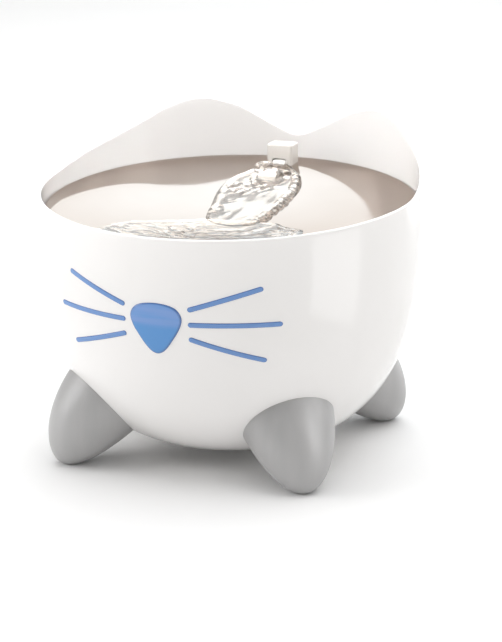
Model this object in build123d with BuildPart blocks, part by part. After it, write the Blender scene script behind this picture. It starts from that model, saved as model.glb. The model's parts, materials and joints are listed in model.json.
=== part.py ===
from build123d import *
import math
import os

# Cat-shaped pet water fountain, millimetres.  The floor is z = 0 and +Z is up,
# the cat's nose faces -Y and its ears stand at +Y, with the bowl's axis on Z.
os.makedirs("parts", exist_ok=True)

# ---------------------------------------------------------------- bowl
BOWL_R = 115.0          # outer radius at the rim
WALL = 2.5              # moulded wall thickness
BELLY_TOP = 153.3       # the straight upper wall starts here, level with the rim at the nose
BELLY_BOTTOM = 4.75     # height the belly curve would reach on the axis
BELLY_P = 2.865         # belly curve: exponent of the height
BELLY_Q = 2.796         # belly curve: exponent of the radius
BASE_Z = 10.0           # flat underside of the bowl
BELLY_HEIGHTS = (14.0, 19.0, 26.0, 36.0, 50.0, 68.0, 90.0, 115.0, 136.0)
# top edge of the bowl and ears: angle from the centre of the back, height
TOP_EDGE = (
    (0.0, 169.2), (9.3, 176.2), (20.0, 187.0), (31.5, 191.9), (42.7, 187.0),
    (50.0, 180.7), (60.0, 173.4), (71.0, 167.6), (81.0, 163.0), (91.0, 159.5),
    (106.0, 157.9), (130.0, 155.6), (155.0, 153.9), (180.0, 153.3),
)
RIM_ROUND = 0.8
EDGE_STEPS = 72         # points on the cutter that shapes the top edge
EDGE_OUT = 6.0          # that cutter's reach outside the bowl's radius
EDGE_IN = 9.0           # and inside it
EDGE_CUT = 80.0
ABOVE_RIM = 8.1         # cutting room above the ears
BOWL_TOP = max(height for angle, height in TOP_EDGE) + ABOVE_RIM

# ---------------------------------------------------------------- face
NOSE_OUTLINE = (        # right half, seen from the front
    (0.0, 115.8), (8.7, 114.7), (13.6, 111.9), (15.7, 107.2), (14.2, 101.4),
    (10.3, 94.9), (6.3, 89.3), (3.1, 86.3), (0.0, 85.3),
)
NOSE_PROUD = 0.9
NOSE_ROUND = 0.7
WHISKER_W = 3.0
WHISKER_PROUD = 0.35
INLAY_DEPTH = 1.2
INLAY_GAP = 0.05
POCKET_PROUD = 3.0      # the pockets' cutters stand this far out of the bowl
FACE_LOW = 70.0         # the face lies between these two heights
FACE_HIGH = 136.0
FACE_INSIDE = 55.0      # the face's cutters run from this far inside the rim's radius
FACE_OUTSIDE = 15.0     # to this far outside it
WHISKERS = (            # name, inner end x, z, outer end x, z
    ("upper", 20.6, 113.2, 57.9, 125.4),
    ("middle", 20.6, 104.1, 66.6, 104.3),
    ("lower", 20.6, 95.2, 57.8, 82.9),
)

# ---------------------------------------------------------------- feet
FOOT_ANGLES = (("front_right", 45.0), ("front_left", -45.0), ("rear_right", 135.0), ("rear_left", -135.0))
FOOT_INSET = 7.5
FOOT_R = BOWL_R - FOOT_INSET    # distance of the foot's tip from the axis
FOOT_TIP_Z = 6.1
FOOT_LEAN = 34.15       # angle of the foot's axis from vertical
FOOT_CURVE = -0.00238   # bend of that axis
FOOT_LENGTH = 90.0
FOOT_WIDE = 31.6        # half width across
FOOT_DEEP = 29.8        # half width in and out
FOOT_N = 2.35
FOOT_M = 1.88
FOOT_STATIONS = (0.25, 1.0, 3.0, 7.0, 13.0, 22.0, 34.0, 48.0, 64.0, 80.0)
FOOT_GAP = 0.1          # glue line between a foot and the bowl
FOOT_BASE_GAP = 0.01    # the same under the bowl's flat base
FOOT_WALL = 2.5
FOOT_CUT = 40.0         # depth of what is cut away below the floor

# ---------------------------------------------------------------- cable outlet
CABLE_Z = 118.0         # height of the outlet in the back wall
CABLE_HOLE = 5.0        # radius of the hole in the bowl
CABLE_BORE = 2.3        # radius left for the cable
CABLE_CUT = 20.0        # the hole's cutter starts this far inside the rim's radius
CABLE_CUT_L = 30.0
PLUG_FLANGE = 7.6
PLUG_T = 1.6
PLUG_SHORT = 0.6        # the plug ends this far inside the rim's radius
HOLE_GAP = 0.1          # room around what sits in a hole
PAST = 1.0              # cutters run this far past what they cut

# ---------------------------------------------------------------- steel dish
DISH_GAP = 0.8          # room between the dish and the bowl's wall
DISH_R = BOWL_R - WALL - DISH_GAP
DISH_AXIS_Y = -20.3     # the basin's axis sits forward of the bowl's
DISH_AXIS_Z = 138.4
DISH_SLOPE = 4.29       # degrees the dish leans toward the nose
DISH_T = 0.8
DISH_PAST = 3.0
DISH_REACH = DISH_R - DISH_AXIS_Y + DISH_PAST   # just past the dish's rearmost edge
DISH_PROFILE = (        # distance from the basin's axis, rise
    (25.0, 0.95), (50.0, 3.5), (75.0, 6.6), (95.0, 8.1), (112.0, 8.4), (DISH_REACH, 6.8),
)
DISH_END_FALL = -0.08   # slope of that profile at its end
DISH_LIP = 4.0          # depth of the turned-down edge
DISH_SPARE = 2.0        # the cutter that hollows the dish reaches this far past that edge
CUT_BELOW = 48.4        # other cutters start this far below the dish's lowest point
CUT_HEIGHT = 100.0
CUT_Z = DISH_AXIS_Z - CUT_BELOW
SPILL_CUT = 3.5         # the front of the dish is cut straight this far in, where the water runs off
SPILL_Y = SPILL_CUT - DISH_R
RIB_ANGLES = (35.0, -35.0, 90.0, -90.0, 150.0, -150.0)
RIB_W = 3.0
RIB_REACH = 3.9
RIB_IN = DISH_R - RIB_REACH
RIB_SINK = 1.3          # how far a rib runs into the bowl's wall
RIB_WALL_H = 13.0       # a rib's height at the wall
RIB_END_H = 4.0         # and at its free end
RIB_GAP = 0.2

# ---------------------------------------------------------------- spout
SPOUT_W = 16.8
SPOUT_D = 12.4
SPOUT_FRONT_Y = 81.5
SPOUT_Y = SPOUT_FRONT_Y + SPOUT_D / 2
SPOUT_TOP = 168.4
SPOUT_CORNER = 1.6
SPOUT_ROUND = 1.2
SPOUT_BLANK = 20.0      # height of the block before its foot is cut to the dish
SPOUT_SEAT = 0.1        # gap between the spout's foot and the steel
SPOUT_OUTLET_W = 9.6
SPOUT_OUTLET_H = 4.6
OUTLET_ROUND = 1.8
OUTLET_SILL = 0.6       # from the spout's foot to the lower edge of the outlet
STEM_R = 4.0
STEM_BORE = 2.8
STEM_BOTTOM = 131.0
TUBE_FIT = 0.08
GROMMET_R = 5.4
GROMMET_FLANGE = 8.0
GROMMET_NECK = 0.9      # height of the ring's neck in the dish's hole
RING_T = 2.0

# ---------------------------------------------------------------- pump housing
HOUSE_X = 36.0
HOUSE_Y0 = -34.0
HOUSE_Y1 = 46.0
HOUSE_Z0 = 20.0
HOUSE_Z1 = 62.0
HOUSE_T = 2.0
HOUSE_ROUND = 8.0
SLOT_W = 2.6            # width of the water slots and the lid's vents
SIDE_SLOTS = 5          # water slots in each side wall
SIDE_SLOT_STEP = 7.0
SIDE_SLOT_L = 12.0
SIDE_SLOT_Y = 12.0      # middle of the row
SIDE_SLOT_RISE = 12.0   # height above the housing's underside
NOTCH_W = 8.0
NOTCH_H = 12.0
LID_T = 2.6
LID_ROUND = 0.8
LID_FIT = 0.3           # room between the lid's lip and the housing
LID_LIP_T = 1.7
LID_LIP_H = 2.6
VENT_X = (15.0, 22.0)
VENT_Y = 20.0
VENT_L = 20.0
FLOOR_Z = BASE_Z + WALL
CUP_SPOTS = ((24.0, -22.0), (-24.0, -22.0), (24.0, 33.0), (-24.0, 33.0))
CUP_R = 8.5
CUP_DOME = 2.2          # depth of the hollow under a cup
CUP_LAND = 1.4          # width of the flat edge it stands on
CUP_EDGE = 1.0
CUP_STEM = 2.6
CUP_SHOULDER = 2.2      # what the collar is wider than the stem
CUP_COLLAR = 3.0
CUP_TAPER = 0.6
CUP_HEAD = 1.2

# ---------------------------------------------------------------- level light
POD_SET = 7.0           # from the housing's front to the pod's middle
POD_Y = HOUSE_Y0 + POD_SET
POD_W = 14.0
POD_D = 11.0
POD_H = 9.8
POD_ROUND = 2.5
POD_TOP_ROUND = 1.0
LAMP_RISE = 5.0
LAMP_Z = HOUSE_Z1 + LID_T + LAMP_RISE
LAMP_R = 2.5
LAMP_L = 6.2
LAMP_ROUND = 2.0

# ---------------------------------------------------------------- filter cartridge
FILTER_X = 28.5
FILTER_Z0 = 23.4
FILTER_Z1 = 57.4
FILTER_MID = (FILTER_Z0 + FILTER_Z1) / 2
FILTER_D = 13.0
FILTER_T = 1.6
FILTER_OUT = 0.6        # how far the cartridge stands out of the housing
FILTER_Y0 = HOUSE_Y0 - FILTER_OUT
FILTER_Y1 = FILTER_Y0 + FILTER_D
FILTER_ROUND = 2.0
SLOT_GAP = 0.4
WINDOW_W = 7.6
WINDOW_H = 8.4
WINDOW_ROUND = 1.2
WINDOW_BAR = 1.6        # bars between the windows, side by side
WINDOW_RAIL = 1.8       # and one above the other
WINDOWS = (6, 3)
TAB_W = 20.0
TAB_D = 8.0
TAB_T = 1.4
TAB_ROUND = 2.5
TAB_RISE = 4.4          # above the cartridge's middle
TAB_OUT = 3.0
PAD_GAP = 0.3
FOAM_T = 4.4
FOAM_ROUND = 0.8
CARBON_T = 5.2
CARBON_ROUND = 1.6
RAIL_W = 8.0
RAIL_T = 2.0
RAIL_X = HOUSE_X - 4.5
RAIL_Y = FILTER_Y1 + SLOT_GAP + RAIL_T / 2
RAIL_SHORT = 3.0        # rails end this far below the housing's top

# ---------------------------------------------------------------- pump
PUMP_X = 19.0
PUMP_Z0 = 24.0
PUMP_Z1 = 58.4
PUMP_ROUND = 3.0
PUMP_AXIS_Z = 38.0
PUMP_WALL_X = 2.4
PUMP_WALL_Z = 2.6
BAR_X = 13.0            # bars in the housing's floor that carry the pump
BAR_W = 3.0
BAR_L = 26.0
COVER_Y0 = -7.0
COVER_FRONT = 4.5       # wall in front of the impeller's chamber
COVER_GAP = 0.1
SHELL_Y0 = 8.0
SHELL_Y1 = 40.0
SHELL_FRONT = 6.0
CHAMBER_R = 11.0
WELL_R = 8.2
WELL_WALL = 1.2
WELL_START = SHELL_Y0 + 4.0
WELL_END = 35.0
STUB_Y = 3.0
STUB_TOP = 74.0
STUB_ROOM = 1.0         # room around the stub in the lid
TUBE_BOTTOM = 65.2
TUBE_TOP = 149.5
TUBE_WALL = 1.6
TUBE_GRIP = 2.0         # straight tube past the end of the stub
TUBE_LEAD = 4.0         # straight tube below the spout's stem
TUBE_SWEEP = 1.1        # how far each end's direction carries into the bend

# ---------------------------------------------------------------- motor
CORE_W = 31.0
CORE_T = 12.0
CORE_Y0 = SHELL_Y0 + 9.0
CORE_Y1 = CORE_Y0 + CORE_T
CORE_Z0 = PUMP_Z0 + 4.2
CORE_GAP = 0.3
CORE_WINDOW_W = 22.0
CORE_WINDOW_Z = 44.5
CORE_SPLIT_W = 4.0
YOKE_Z0 = 50.6
YOKE_Z1 = 53.6
COIL_L = 19.2
COIL_T = 2.0            # winding thickness in front of and behind the yoke
COIL_T_Z = 1.5          # and above and below it
COIL_GAP = 0.2
COIL_ROUND = 1.5
RESIN_GAP = 0.2
RESIN_Y0 = CORE_Y1 + 2.6
RESIN_SHORT = 0.4
GLAND_Z = 51.0
GLAND_R = 3.6
GLAND_IN = 3.8          # how far the gland sits in the resin
GLAND_OUT = 3.4
GLAND_ROUND = 1.0
GLAND_BORE_IN = 2.0

# ---------------------------------------------------------------- intake
EYE_R = 6.2
EYE_HUB = 3.4
SPOKE_R = 4.8           # radius that the eye's spokes are centred on
SPOKE_L = 3.6
SPOKE_W = 1.4
SEAL_IN = 12.0
SEAL_OUT = 13.3
SEAL_T = 0.9
STRAINER_W = 28.0
STRAINER_H = 24.0
STRAINER_D = 5.0
STRAINER_T = 1.6
STRAINER_ROUND = 4.0
STRAINER_EDGE = 1.2
STRAINER_SLOTS = 7
STRAINER_STEP = 3.4
STRAINER_SLOT_L = 17.0
STRAINER_SLOT_W = 1.8

# ---------------------------------------------------------------- rotor
ROTOR_R = 7.5
MAGNET_ROUND = 0.6
MAGNET_BORE = 2.6
HUB_R = 2.5
SHAFT_R = 1.0
SHAFT_FIT = 0.05
SHAFT_SEAT = 0.02
SHAFT_EDGE = 0.25
MAGNET_Y0 = SHELL_Y0 + 2.0
MAGNET_Y1 = WELL_END - 3.2
HUB_Y0 = COVER_Y0 + 6.4
HUB_SHORT = 0.5
WHEEL_R = 7.0           # disc that carries the impeller's blades
WHEEL_Y0 = SHELL_Y0 - 0.6
WHEEL_T = 2.0
BLADES = 6
BLADE_R = 5.6
BLADE_L = 7.6
BLADE_T = 1.2
BLADE_Y0 = HUB_Y0 + 0.8
BUSH_Y0 = COVER_Y0 + 1.5
BUSH_Y1 = COVER_Y0 + 5.9
BUSH_R = 2.3
BUSH_GAP = 0.05
BUSH_BASE = 0.9         # solid end of the front bush
SHAFT_Y0 = COVER_Y0 + 2.6
SHAFT_Y1 = WELL_END - 0.4
REAR_BUSH_T = 2.5
REAR_BUSH_BASE = 0.2

# ---------------------------------------------------------------- water
POOL_Z = 140.5
FILM = 0.05             # gap between the water and the steel
POOL_EDGE = 0.3
STREAM_T = 2.2          # thickness of the running water
STREAM_OUTLINE = (      # left edge from the spout forward, then the right edge back
    (-5.0, 81.0), (-12.5, 70.0), (-20.0, 57.0), (-22.6, 43.0), (-21.0, 26.0), (-17.0, 8.0),
    (-12.5, -9.0), (-3.0, -18.0), (12.0, -18.5), (23.0, -11.0), (26.0, 10.0), (28.3, 28.0),
    (28.2, 43.0), (24.0, 58.0), (16.5, 70.0), (5.0, 81.0),
)
BUBBLE_X = 2.0          # dome where the water from the spout lands
BUBBLE_Y = 57.0
BUBBLE_R = 8.5
BUBBLE_RISE = 6.0


def belly_r(z, grow=0.0):
    """Radius of the bowl's outside at a height, moved outward by grow."""
    if z >= BELLY_TOP:
        return BOWL_R + grow
    t = (BELLY_TOP - z) / (BELLY_TOP - BELLY_BOTTOM + grow)
    return (BOWL_R + grow) * max(1.0 - t**BELLY_P, 0.0) ** (1.0 / BELLY_Q)


def edge_height(deg):
    """Height of the bowl's top edge at an angle from the centre of the back."""
    a = abs(deg)
    pts = TOP_EDGE
    slopes = []
    for i in range(len(pts)):
        if i == 0 or i == len(pts) - 1:
            slopes.append(0.0)
            continue
        left = (pts[i][1] - pts[i - 1][1]) / (pts[i][0] - pts[i - 1][0])
        right = (pts[i + 1][1] - pts[i][1]) / (pts[i + 1][0] - pts[i][0])
        slopes.append(0.0 if left * right <= 0 else 2.0 * left * right / (left + right))
    for i in range(len(pts) - 1):
        if a <= pts[i + 1][0]:
            break
    h = pts[i + 1][0] - pts[i][0]
    u = min(max((a - pts[i][0]) / h, 0.0), 1.0)
    low = pts[i][1] * (1 + 2 * u) * (1 - u) ** 2 + slopes[i] * h * u * (1 - u) ** 2
    high = pts[i + 1][1] * (3 - 2 * u) * u**2 - slopes[i + 1] * h * (1 - u) * u**2
    return low + high


def at_angle(radius, deg, z):
    """Point at an angle measured from the centre of the back (+Y) toward +X."""
    a = math.radians(deg)
    return (radius * math.sin(a), radius * math.cos(a), z)


def dish_z(x, y):
    """Height of the dish's upper face."""
    r = math.hypot(x, y - DISH_AXIS_Y)
    pts = ((0.0, 0.0),) + DISH_PROFILE
    for i in range(len(pts) - 1):
        if r <= pts[i + 1][0]:
            break
    u = (r - pts[i][0]) / (pts[i + 1][0] - pts[i][0])
    rise = pts[i][1] + u * (pts[i + 1][1] - pts[i][1])
    return DISH_AXIS_Z + math.tan(math.radians(DISH_SLOPE)) * (y - DISH_AXIS_Y) + rise


def belly_solid(grow, low, high):
    """Solid of the bowl's outside shape, moved outward by grow, between two heights."""
    zs = [low] + [z for z in BELLY_HEIGHTS if low + 1.5 < z < min(high, BELLY_TOP) - 1.5]
    with BuildPart(mode=Mode.PRIVATE) as body:
        with BuildSketch(Plane.XZ):
            with BuildLine():
                if high > BELLY_TOP:
                    Spline(
                        *[(belly_r(z, grow), z) for z in zs + [BELLY_TOP]],
                        tangents=[belly_tangent(low, grow), (0, 1)],
                    )
                    Line((BOWL_R + grow, BELLY_TOP), (BOWL_R + grow, high))
                else:
                    Spline(
                        *[(belly_r(z, grow), z) for z in zs + [high]],
                        tangents=[belly_tangent(low, grow), belly_tangent(high, grow)],
                    )
                Line((belly_r(high, grow), high), (0, high))
                Line((0, high), (0, low))
                Line((0, low), (belly_r(low, grow), low))
            make_face()
        revolve(axis=Axis.Z)
    return body.part


def belly_tangent(z, grow):
    """Direction of the belly curve, going up."""
    d = 0.05
    return (belly_r(min(z + d, BELLY_TOP), grow) - belly_r(z - d, grow), 2 * d)


def dish_slab(depth, lift=0.0):
    """Stamped dish shape, a given depth of material below its upper face."""
    with BuildPart(mode=Mode.PRIVATE) as body:
        with BuildSketch(Plane.XZ):
            with BuildLine():
                Spline(
                    (0, lift), *[(r, h + lift) for r, h in DISH_PROFILE], tangents=[(1, 0), (1, DISH_END_FALL)]
                )
                end_r, end_h = DISH_PROFILE[-1]
                Line((end_r, end_h + lift), (end_r, end_h - depth))
                Spline(
                    (end_r, end_h - depth),
                    *[(r, h - depth) for r, h in reversed(DISH_PROFILE[:-1])],
                    (0, -depth),
                    tangents=[(-1, -DISH_END_FALL), (-1, 0)],
                )
                Line((0, -depth), (0, lift))
            make_face()
        revolve(axis=Axis.Z)
    return Location((0, DISH_AXIS_Y, DISH_AXIS_Z), (DISH_SLOPE, 0, 0)) * body.part


def upright(radius, low, high):
    """Plain cylinder on the bowl's axis."""
    return Solid.make_cylinder(radius, high - low, Plane((0, 0, low)))


def save(part, label):
    part.label = label
    export_step(part, "parts/" + label + ".step")
    return part


# ================================================================ bowl
def edge_cutter():
    """Everything above the wavy top edge, as a ring around the bowl's wall."""
    angles = [360.0 * i / EDGE_STEPS for i in range(EDGE_STEPS)]
    heights = [edge_height(a if a <= 180 else 360 - a) for a in angles]
    rings = []
    for radius in (BOWL_R + EDGE_OUT, BOWL_R - EDGE_IN):
        points = [Vector(*at_angle(radius, a, h)) for a, h in zip(angles, heights)]
        rings.append(Edge.make_spline(points, periodic=True))
    return Solid.extrude(Face.make_surface_from_curves(*rings), Vector(0, 0, EDGE_CUT))


def rib_shape(deg):
    """Small ledge on the bowl's inside that carries the edge of the dish."""
    a = math.radians(deg)
    er = (math.sin(a), -math.cos(a))
    half = RIB_W / 2
    corners = [(r, side * half) for r in (RIB_IN, BOWL_R - WALL) for side in (-1, 1)]
    zs = [dish_z(r * er[0] - w * er[1], r * er[1] + w * er[0]) for r, w in corners]
    top = min(zs) - DISH_T - DISH_LIP - RIB_GAP
    root = BOWL_R - WALL + RIB_SINK
    plane = Plane(origin=(0, 0, 0), x_dir=(er[0], er[1], 0), z_dir=(er[1], -er[0], 0))
    with BuildPart(mode=Mode.PRIVATE) as rib:
        with BuildSketch(plane):
            with BuildLine():
                Polyline(
                    (RIB_IN, top), (root, top), (root, top - RIB_WALL_H), (RIB_IN, top - RIB_END_H), close=True
                )
            make_face()
        extrude(amount=half, both=True)
    return rib.part


def nose_prism(grow):
    """The nose's outline seen from the front, a little larger by grow, as deep as the bowl's face."""
    half_w = max(x for x, z in NOSE_OUTLINE)
    top, bottom = NOSE_OUTLINE[0][1], NOSE_OUTLINE[-1][1]
    middle, half_h = (top + bottom) / 2, (top - bottom) / 2
    wider, taller = 1 + grow / half_w, 1 + grow / half_h
    right = [(x * wider, middle + (z - middle) * taller) for x, z in NOSE_OUTLINE]
    left = [(-x, z) for x, z in reversed(right[1:-1])]
    with BuildPart(mode=Mode.PRIVATE) as prism:
        with BuildSketch(Plane.XZ.offset(BOWL_R - FACE_INSIDE)):
            with BuildLine():
                Spline(*(right + left), periodic=True)
            make_face()
        extrude(amount=FACE_INSIDE + FACE_OUTSIDE)
    return prism.part


def whisker_prism(x0, z0, x1, z1, grow):
    """A round-ended stroke seen from the front, as deep as the bowl's face."""
    angle = math.degrees(math.atan2(z1 - z0, x1 - x0))
    with BuildPart(mode=Mode.PRIVATE) as prism:
        with BuildSketch(Plane.XZ.offset(BOWL_R - FACE_INSIDE)):
            with Locations(Location(((x0 + x1) / 2, (z0 + z1) / 2, 0), (0, 0, angle))):
                SlotOverall(math.hypot(x1 - x0, z1 - z0) + WHISKER_W + 2 * grow, WHISKER_W + 2 * grow)
        extrude(amount=FACE_INSIDE + FACE_OUTSIDE)
    return prism.part


def face_shell(depth, proud):
    """Layer of the bowl's surface at the face, from a depth inside it to a height proud of it."""
    return belly_solid(proud, FACE_LOW, FACE_HIGH) - belly_solid(-depth, FACE_LOW - PAST, FACE_HIGH + PAST)


bowl_outside = belly_solid(0.0, BASE_Z, BOWL_TOP)
bowl_inside = belly_solid(-WALL, FLOOR_Z, BOWL_TOP)
bowl_above = edge_cutter()
bowl_ribs = [rib_shape(angle) for angle in RIB_ANGLES]
pocket_shell = face_shell(INLAY_DEPTH + INLAY_GAP, POCKET_PROUD)
nose_pocket = pocket_shell & nose_prism(INLAY_GAP)
whisker_pockets = []
for name, wx0, wz0, wx1, wz1 in WHISKERS:
    for side in (1, -1):
        stroke = whisker_prism(side * wx0, wz0, side * wx1, wz1, INLAY_GAP)
        whisker_pockets.append(pocket_shell & stroke)

cable_plane = Plane((0, BOWL_R - CABLE_CUT, CABLE_Z), z_dir=(0, 1, 0))
cable_hole = Solid.make_cylinder(CABLE_HOLE, CABLE_CUT_L, cable_plane)

with BuildPart() as bowl:
    add(bowl_outside)
    add(bowl_inside, mode=Mode.SUBTRACT)
    add(cable_hole, mode=Mode.SUBTRACT)
    for rib in bowl_ribs:
        add(rib)
    add(nose_pocket, mode=Mode.SUBTRACT)
    for pocket in whisker_pockets:
        add(pocket, mode=Mode.SUBTRACT)
    add(bowl_above, mode=Mode.SUBTRACT)
    lip = bowl.faces().filter_by(GeomType.BSPLINE)
    lip = lip.sort_by(lambda face: face.bounding_box().max.Z)[-1]
    fillet(lip.edges(), radius=RIM_ROUND)
save(bowl.part, "bowl")

# rubber plug that lets the pump's cable out through the back wall
plug_face = math.sqrt(belly_r(CABLE_Z - PLUG_FLANGE, -WALL) ** 2 - PLUG_FLANGE**2) - HOLE_GAP
plug_y = plug_face - PLUG_T
plug_plane = Plane((0, plug_y, CABLE_Z), x_dir=(1, 0, 0), z_dir=(0, 1, 0))
with BuildPart() as cable_grommet:
    with BuildSketch(plug_plane):
        Circle(PLUG_FLANGE)
        Circle(CABLE_BORE, mode=Mode.SUBTRACT)
    extrude(amount=PLUG_T)
    with BuildSketch(plug_plane):
        Circle(CABLE_HOLE - HOLE_GAP)
        Circle(CABLE_BORE, mode=Mode.SUBTRACT)
    extrude(amount=BOWL_R - PLUG_SHORT - plug_y)
save(cable_grommet.part, "cable_grommet")

# ================================================================ face inlays
nose_layer = face_shell(INLAY_DEPTH, NOSE_PROUD) & nose_prism(0.0)
with BuildPart() as nose_lens:
    add(nose_layer)
    front = nose_lens.faces().sort_by(Axis.Y)[0]
    fillet(front.edges(), radius=NOSE_ROUND)
save(nose_lens.part, "nose_lens")

whisker_layer = face_shell(INLAY_DEPTH, WHISKER_PROUD)
for name, wx0, wz0, wx1, wz1 in WHISKERS:
    for side, word in ((1, "right"), (-1, "left")):
        whisker_layer_cut = whisker_layer & whisker_prism(side * wx0, wz0, side * wx1, wz1, 0.0)
        with BuildPart() as whisker:
            add(whisker_layer_cut)
        save(whisker.part, "whisker_" + word + "_" + name)


# ================================================================ feet
foot_clearance = belly_solid(FOOT_GAP, BASE_Z - FOOT_BASE_GAP, BOWL_TOP)


def foot_body(deg, wall):
    """Solid of a foot, or of the hollow inside it where a wall thickness is given."""
    a = math.radians(deg)
    er = Vector(math.sin(a), -math.cos(a), 0)
    across = Vector(math.cos(a), math.sin(a), 0)
    lean = math.radians(FOOT_LEAN)
    along = er * -math.sin(lean) + Vector(0, 0, math.cos(lean))
    outward = er * math.cos(lean) + Vector(0, 0, math.sin(lean))
    tip = er * FOOT_R + Vector(0, 0, FOOT_TIP_Z)
    with BuildPart() as body:
        for s in FOOT_STATIONS:
            if s < 2 * wall:
                continue
            width = (1 - (1 - s / FOOT_LENGTH) ** FOOT_N) ** (1 / FOOT_M)
            reach = s - FOOT_TIP_Z
            centre = tip + along * reach + outward * (FOOT_CURVE * reach**2)
            with BuildSketch(Plane(origin=centre, x_dir=across, z_dir=along)):
                Ellipse(FOOT_WIDE * width - wall, FOOT_DEEP * width - wall)
        loft()
    return body.part


def foot(deg):
    """Rounded, ear-shaped foot whose tip stands on the floor and whose back hugs the bowl."""
    outside = foot_body(deg, 0.0)
    hollow = foot_body(deg, FOOT_WALL)
    with BuildPart() as shell:
        add(outside)
        add(hollow, mode=Mode.SUBTRACT)
        add(foot_clearance, mode=Mode.SUBTRACT)
        with BuildSketch(Plane.XY):
            Rectangle(4 * BOWL_R, 4 * BOWL_R)
        extrude(amount=-FOOT_CUT, mode=Mode.SUBTRACT)
    return shell.part


for word, foot_angle in FOOT_ANGLES:
    save(foot(foot_angle), "foot_" + word)


# ================================================================ steel dish
dish_deep = dish_slab(DISH_T + DISH_LIP)
dish_cylinder = upright(DISH_R, CUT_Z, CUT_Z + CUT_HEIGHT)
dish_below = Location((0, 0, -DISH_T)) * dish_slab(DISH_LIP + DISH_SPARE)
dish_core = upright(DISH_R - DISH_T, CUT_Z, CUT_Z + CUT_HEIGHT) & dish_below
spill_cutter = Solid.make_box(2 * DISH_R, DISH_R, CUT_HEIGHT, Plane((-DISH_R, SPILL_Y - DISH_R, CUT_Z)))

with BuildPart() as drinking_dish:
    add(dish_deep)
    add(dish_cylinder, mode=Mode.INTERSECT)
    add(dish_core, mode=Mode.SUBTRACT)
    # straight cut where the water runs off beside the nose
    add(spill_cutter, mode=Mode.SUBTRACT)
    # hole for the spout's stem
    with BuildSketch(Plane.XY.offset(CUT_Z)):
        with Locations((0, SPOUT_Y)):
            Circle(GROMMET_R + HOLE_GAP)
    extrude(amount=CUT_HEIGHT, mode=Mode.SUBTRACT)
save(drinking_dish.part, "drinking_dish")

# silicone ring that seals the spout's stem where it passes through the steel
ring_top = min(dish_z(0, SPOUT_Y - GROMMET_FLANGE), dish_z(0, SPOUT_Y + GROMMET_FLANGE)) - DISH_T - HOLE_GAP
with BuildPart() as spout_grommet:
    with BuildSketch(Plane.XY.offset(ring_top - RING_T)):
        with Locations((0, SPOUT_Y)):
            Circle(GROMMET_FLANGE)
            Circle(STEM_R + TUBE_FIT, mode=Mode.SUBTRACT)
    extrude(amount=RING_T)
    with BuildSketch(Plane.XY.offset(ring_top)):
        with Locations((0, SPOUT_Y)):
            Circle(GROMMET_R)
            Circle(STEM_R + TUBE_FIT, mode=Mode.SUBTRACT)
    extrude(amount=GROMMET_NECK)
save(spout_grommet.part, "spout_grommet")

# ================================================================ spout
dish_clearance = dish_slab(2 * SPOUT_BLANK, SPOUT_SEAT)
outlet_z = dish_z(0, SPOUT_FRONT_Y) + SPOUT_SEAT + OUTLET_SILL
with BuildPart() as spout:
    with BuildSketch(Plane.XY.offset(SPOUT_TOP - SPOUT_BLANK)):
        with Locations((0, SPOUT_Y)):
            RectangleRounded(SPOUT_W, SPOUT_D, SPOUT_CORNER)
    extrude(amount=SPOUT_BLANK)
    fillet(spout.faces().sort_by(Axis.Z)[-1].edges(), radius=SPOUT_ROUND)
    add(dish_clearance, mode=Mode.SUBTRACT)
    # hollow stem down through the dish
    with BuildSketch(Plane.XY.offset(STEM_BOTTOM)):
        with Locations((0, SPOUT_Y)):
            Circle(STEM_R)
    extrude(amount=outlet_z - STEM_BOTTOM + PAST)
    with BuildSketch(Plane.XY.offset(STEM_BOTTOM)):
        with Locations((0, SPOUT_Y)):
            Circle(STEM_BORE)
    extrude(amount=outlet_z - STEM_BOTTOM + SPOUT_OUTLET_H / 2, mode=Mode.SUBTRACT)
    # outlet mouth, low in the front face
    with BuildSketch(Plane.XZ.offset(-SPOUT_Y)):
        with Locations((0, outlet_z + SPOUT_OUTLET_H / 2)):
            RectangleRounded(SPOUT_OUTLET_W, SPOUT_OUTLET_H, OUTLET_ROUND)
    extrude(amount=SPOUT_D, mode=Mode.SUBTRACT)
save(spout.part, "spout")

# ================================================================ pump housing
def block(x, y0, y1, z0, z1, radius):
    """Upright box with rounded corners, centred on x = 0."""
    with BuildPart(mode=Mode.PRIVATE) as body:
        with BuildSketch(Plane.XY.offset(z0)):
            with Locations((0, (y0 + y1) / 2)):
                if radius:
                    RectangleRounded(2 * x, y1 - y0, radius)
                else:
                    Rectangle(2 * x, y1 - y0)
        extrude(amount=z1 - z0)
    return body.part


def along_y(radius, y0, y1, x=0.0, z=PUMP_AXIS_Z):
    """Cylinder running from front to back."""
    return Solid.make_cylinder(radius, y1 - y0, Plane((x, y0, z), z_dir=(0, 1, 0)))


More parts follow.
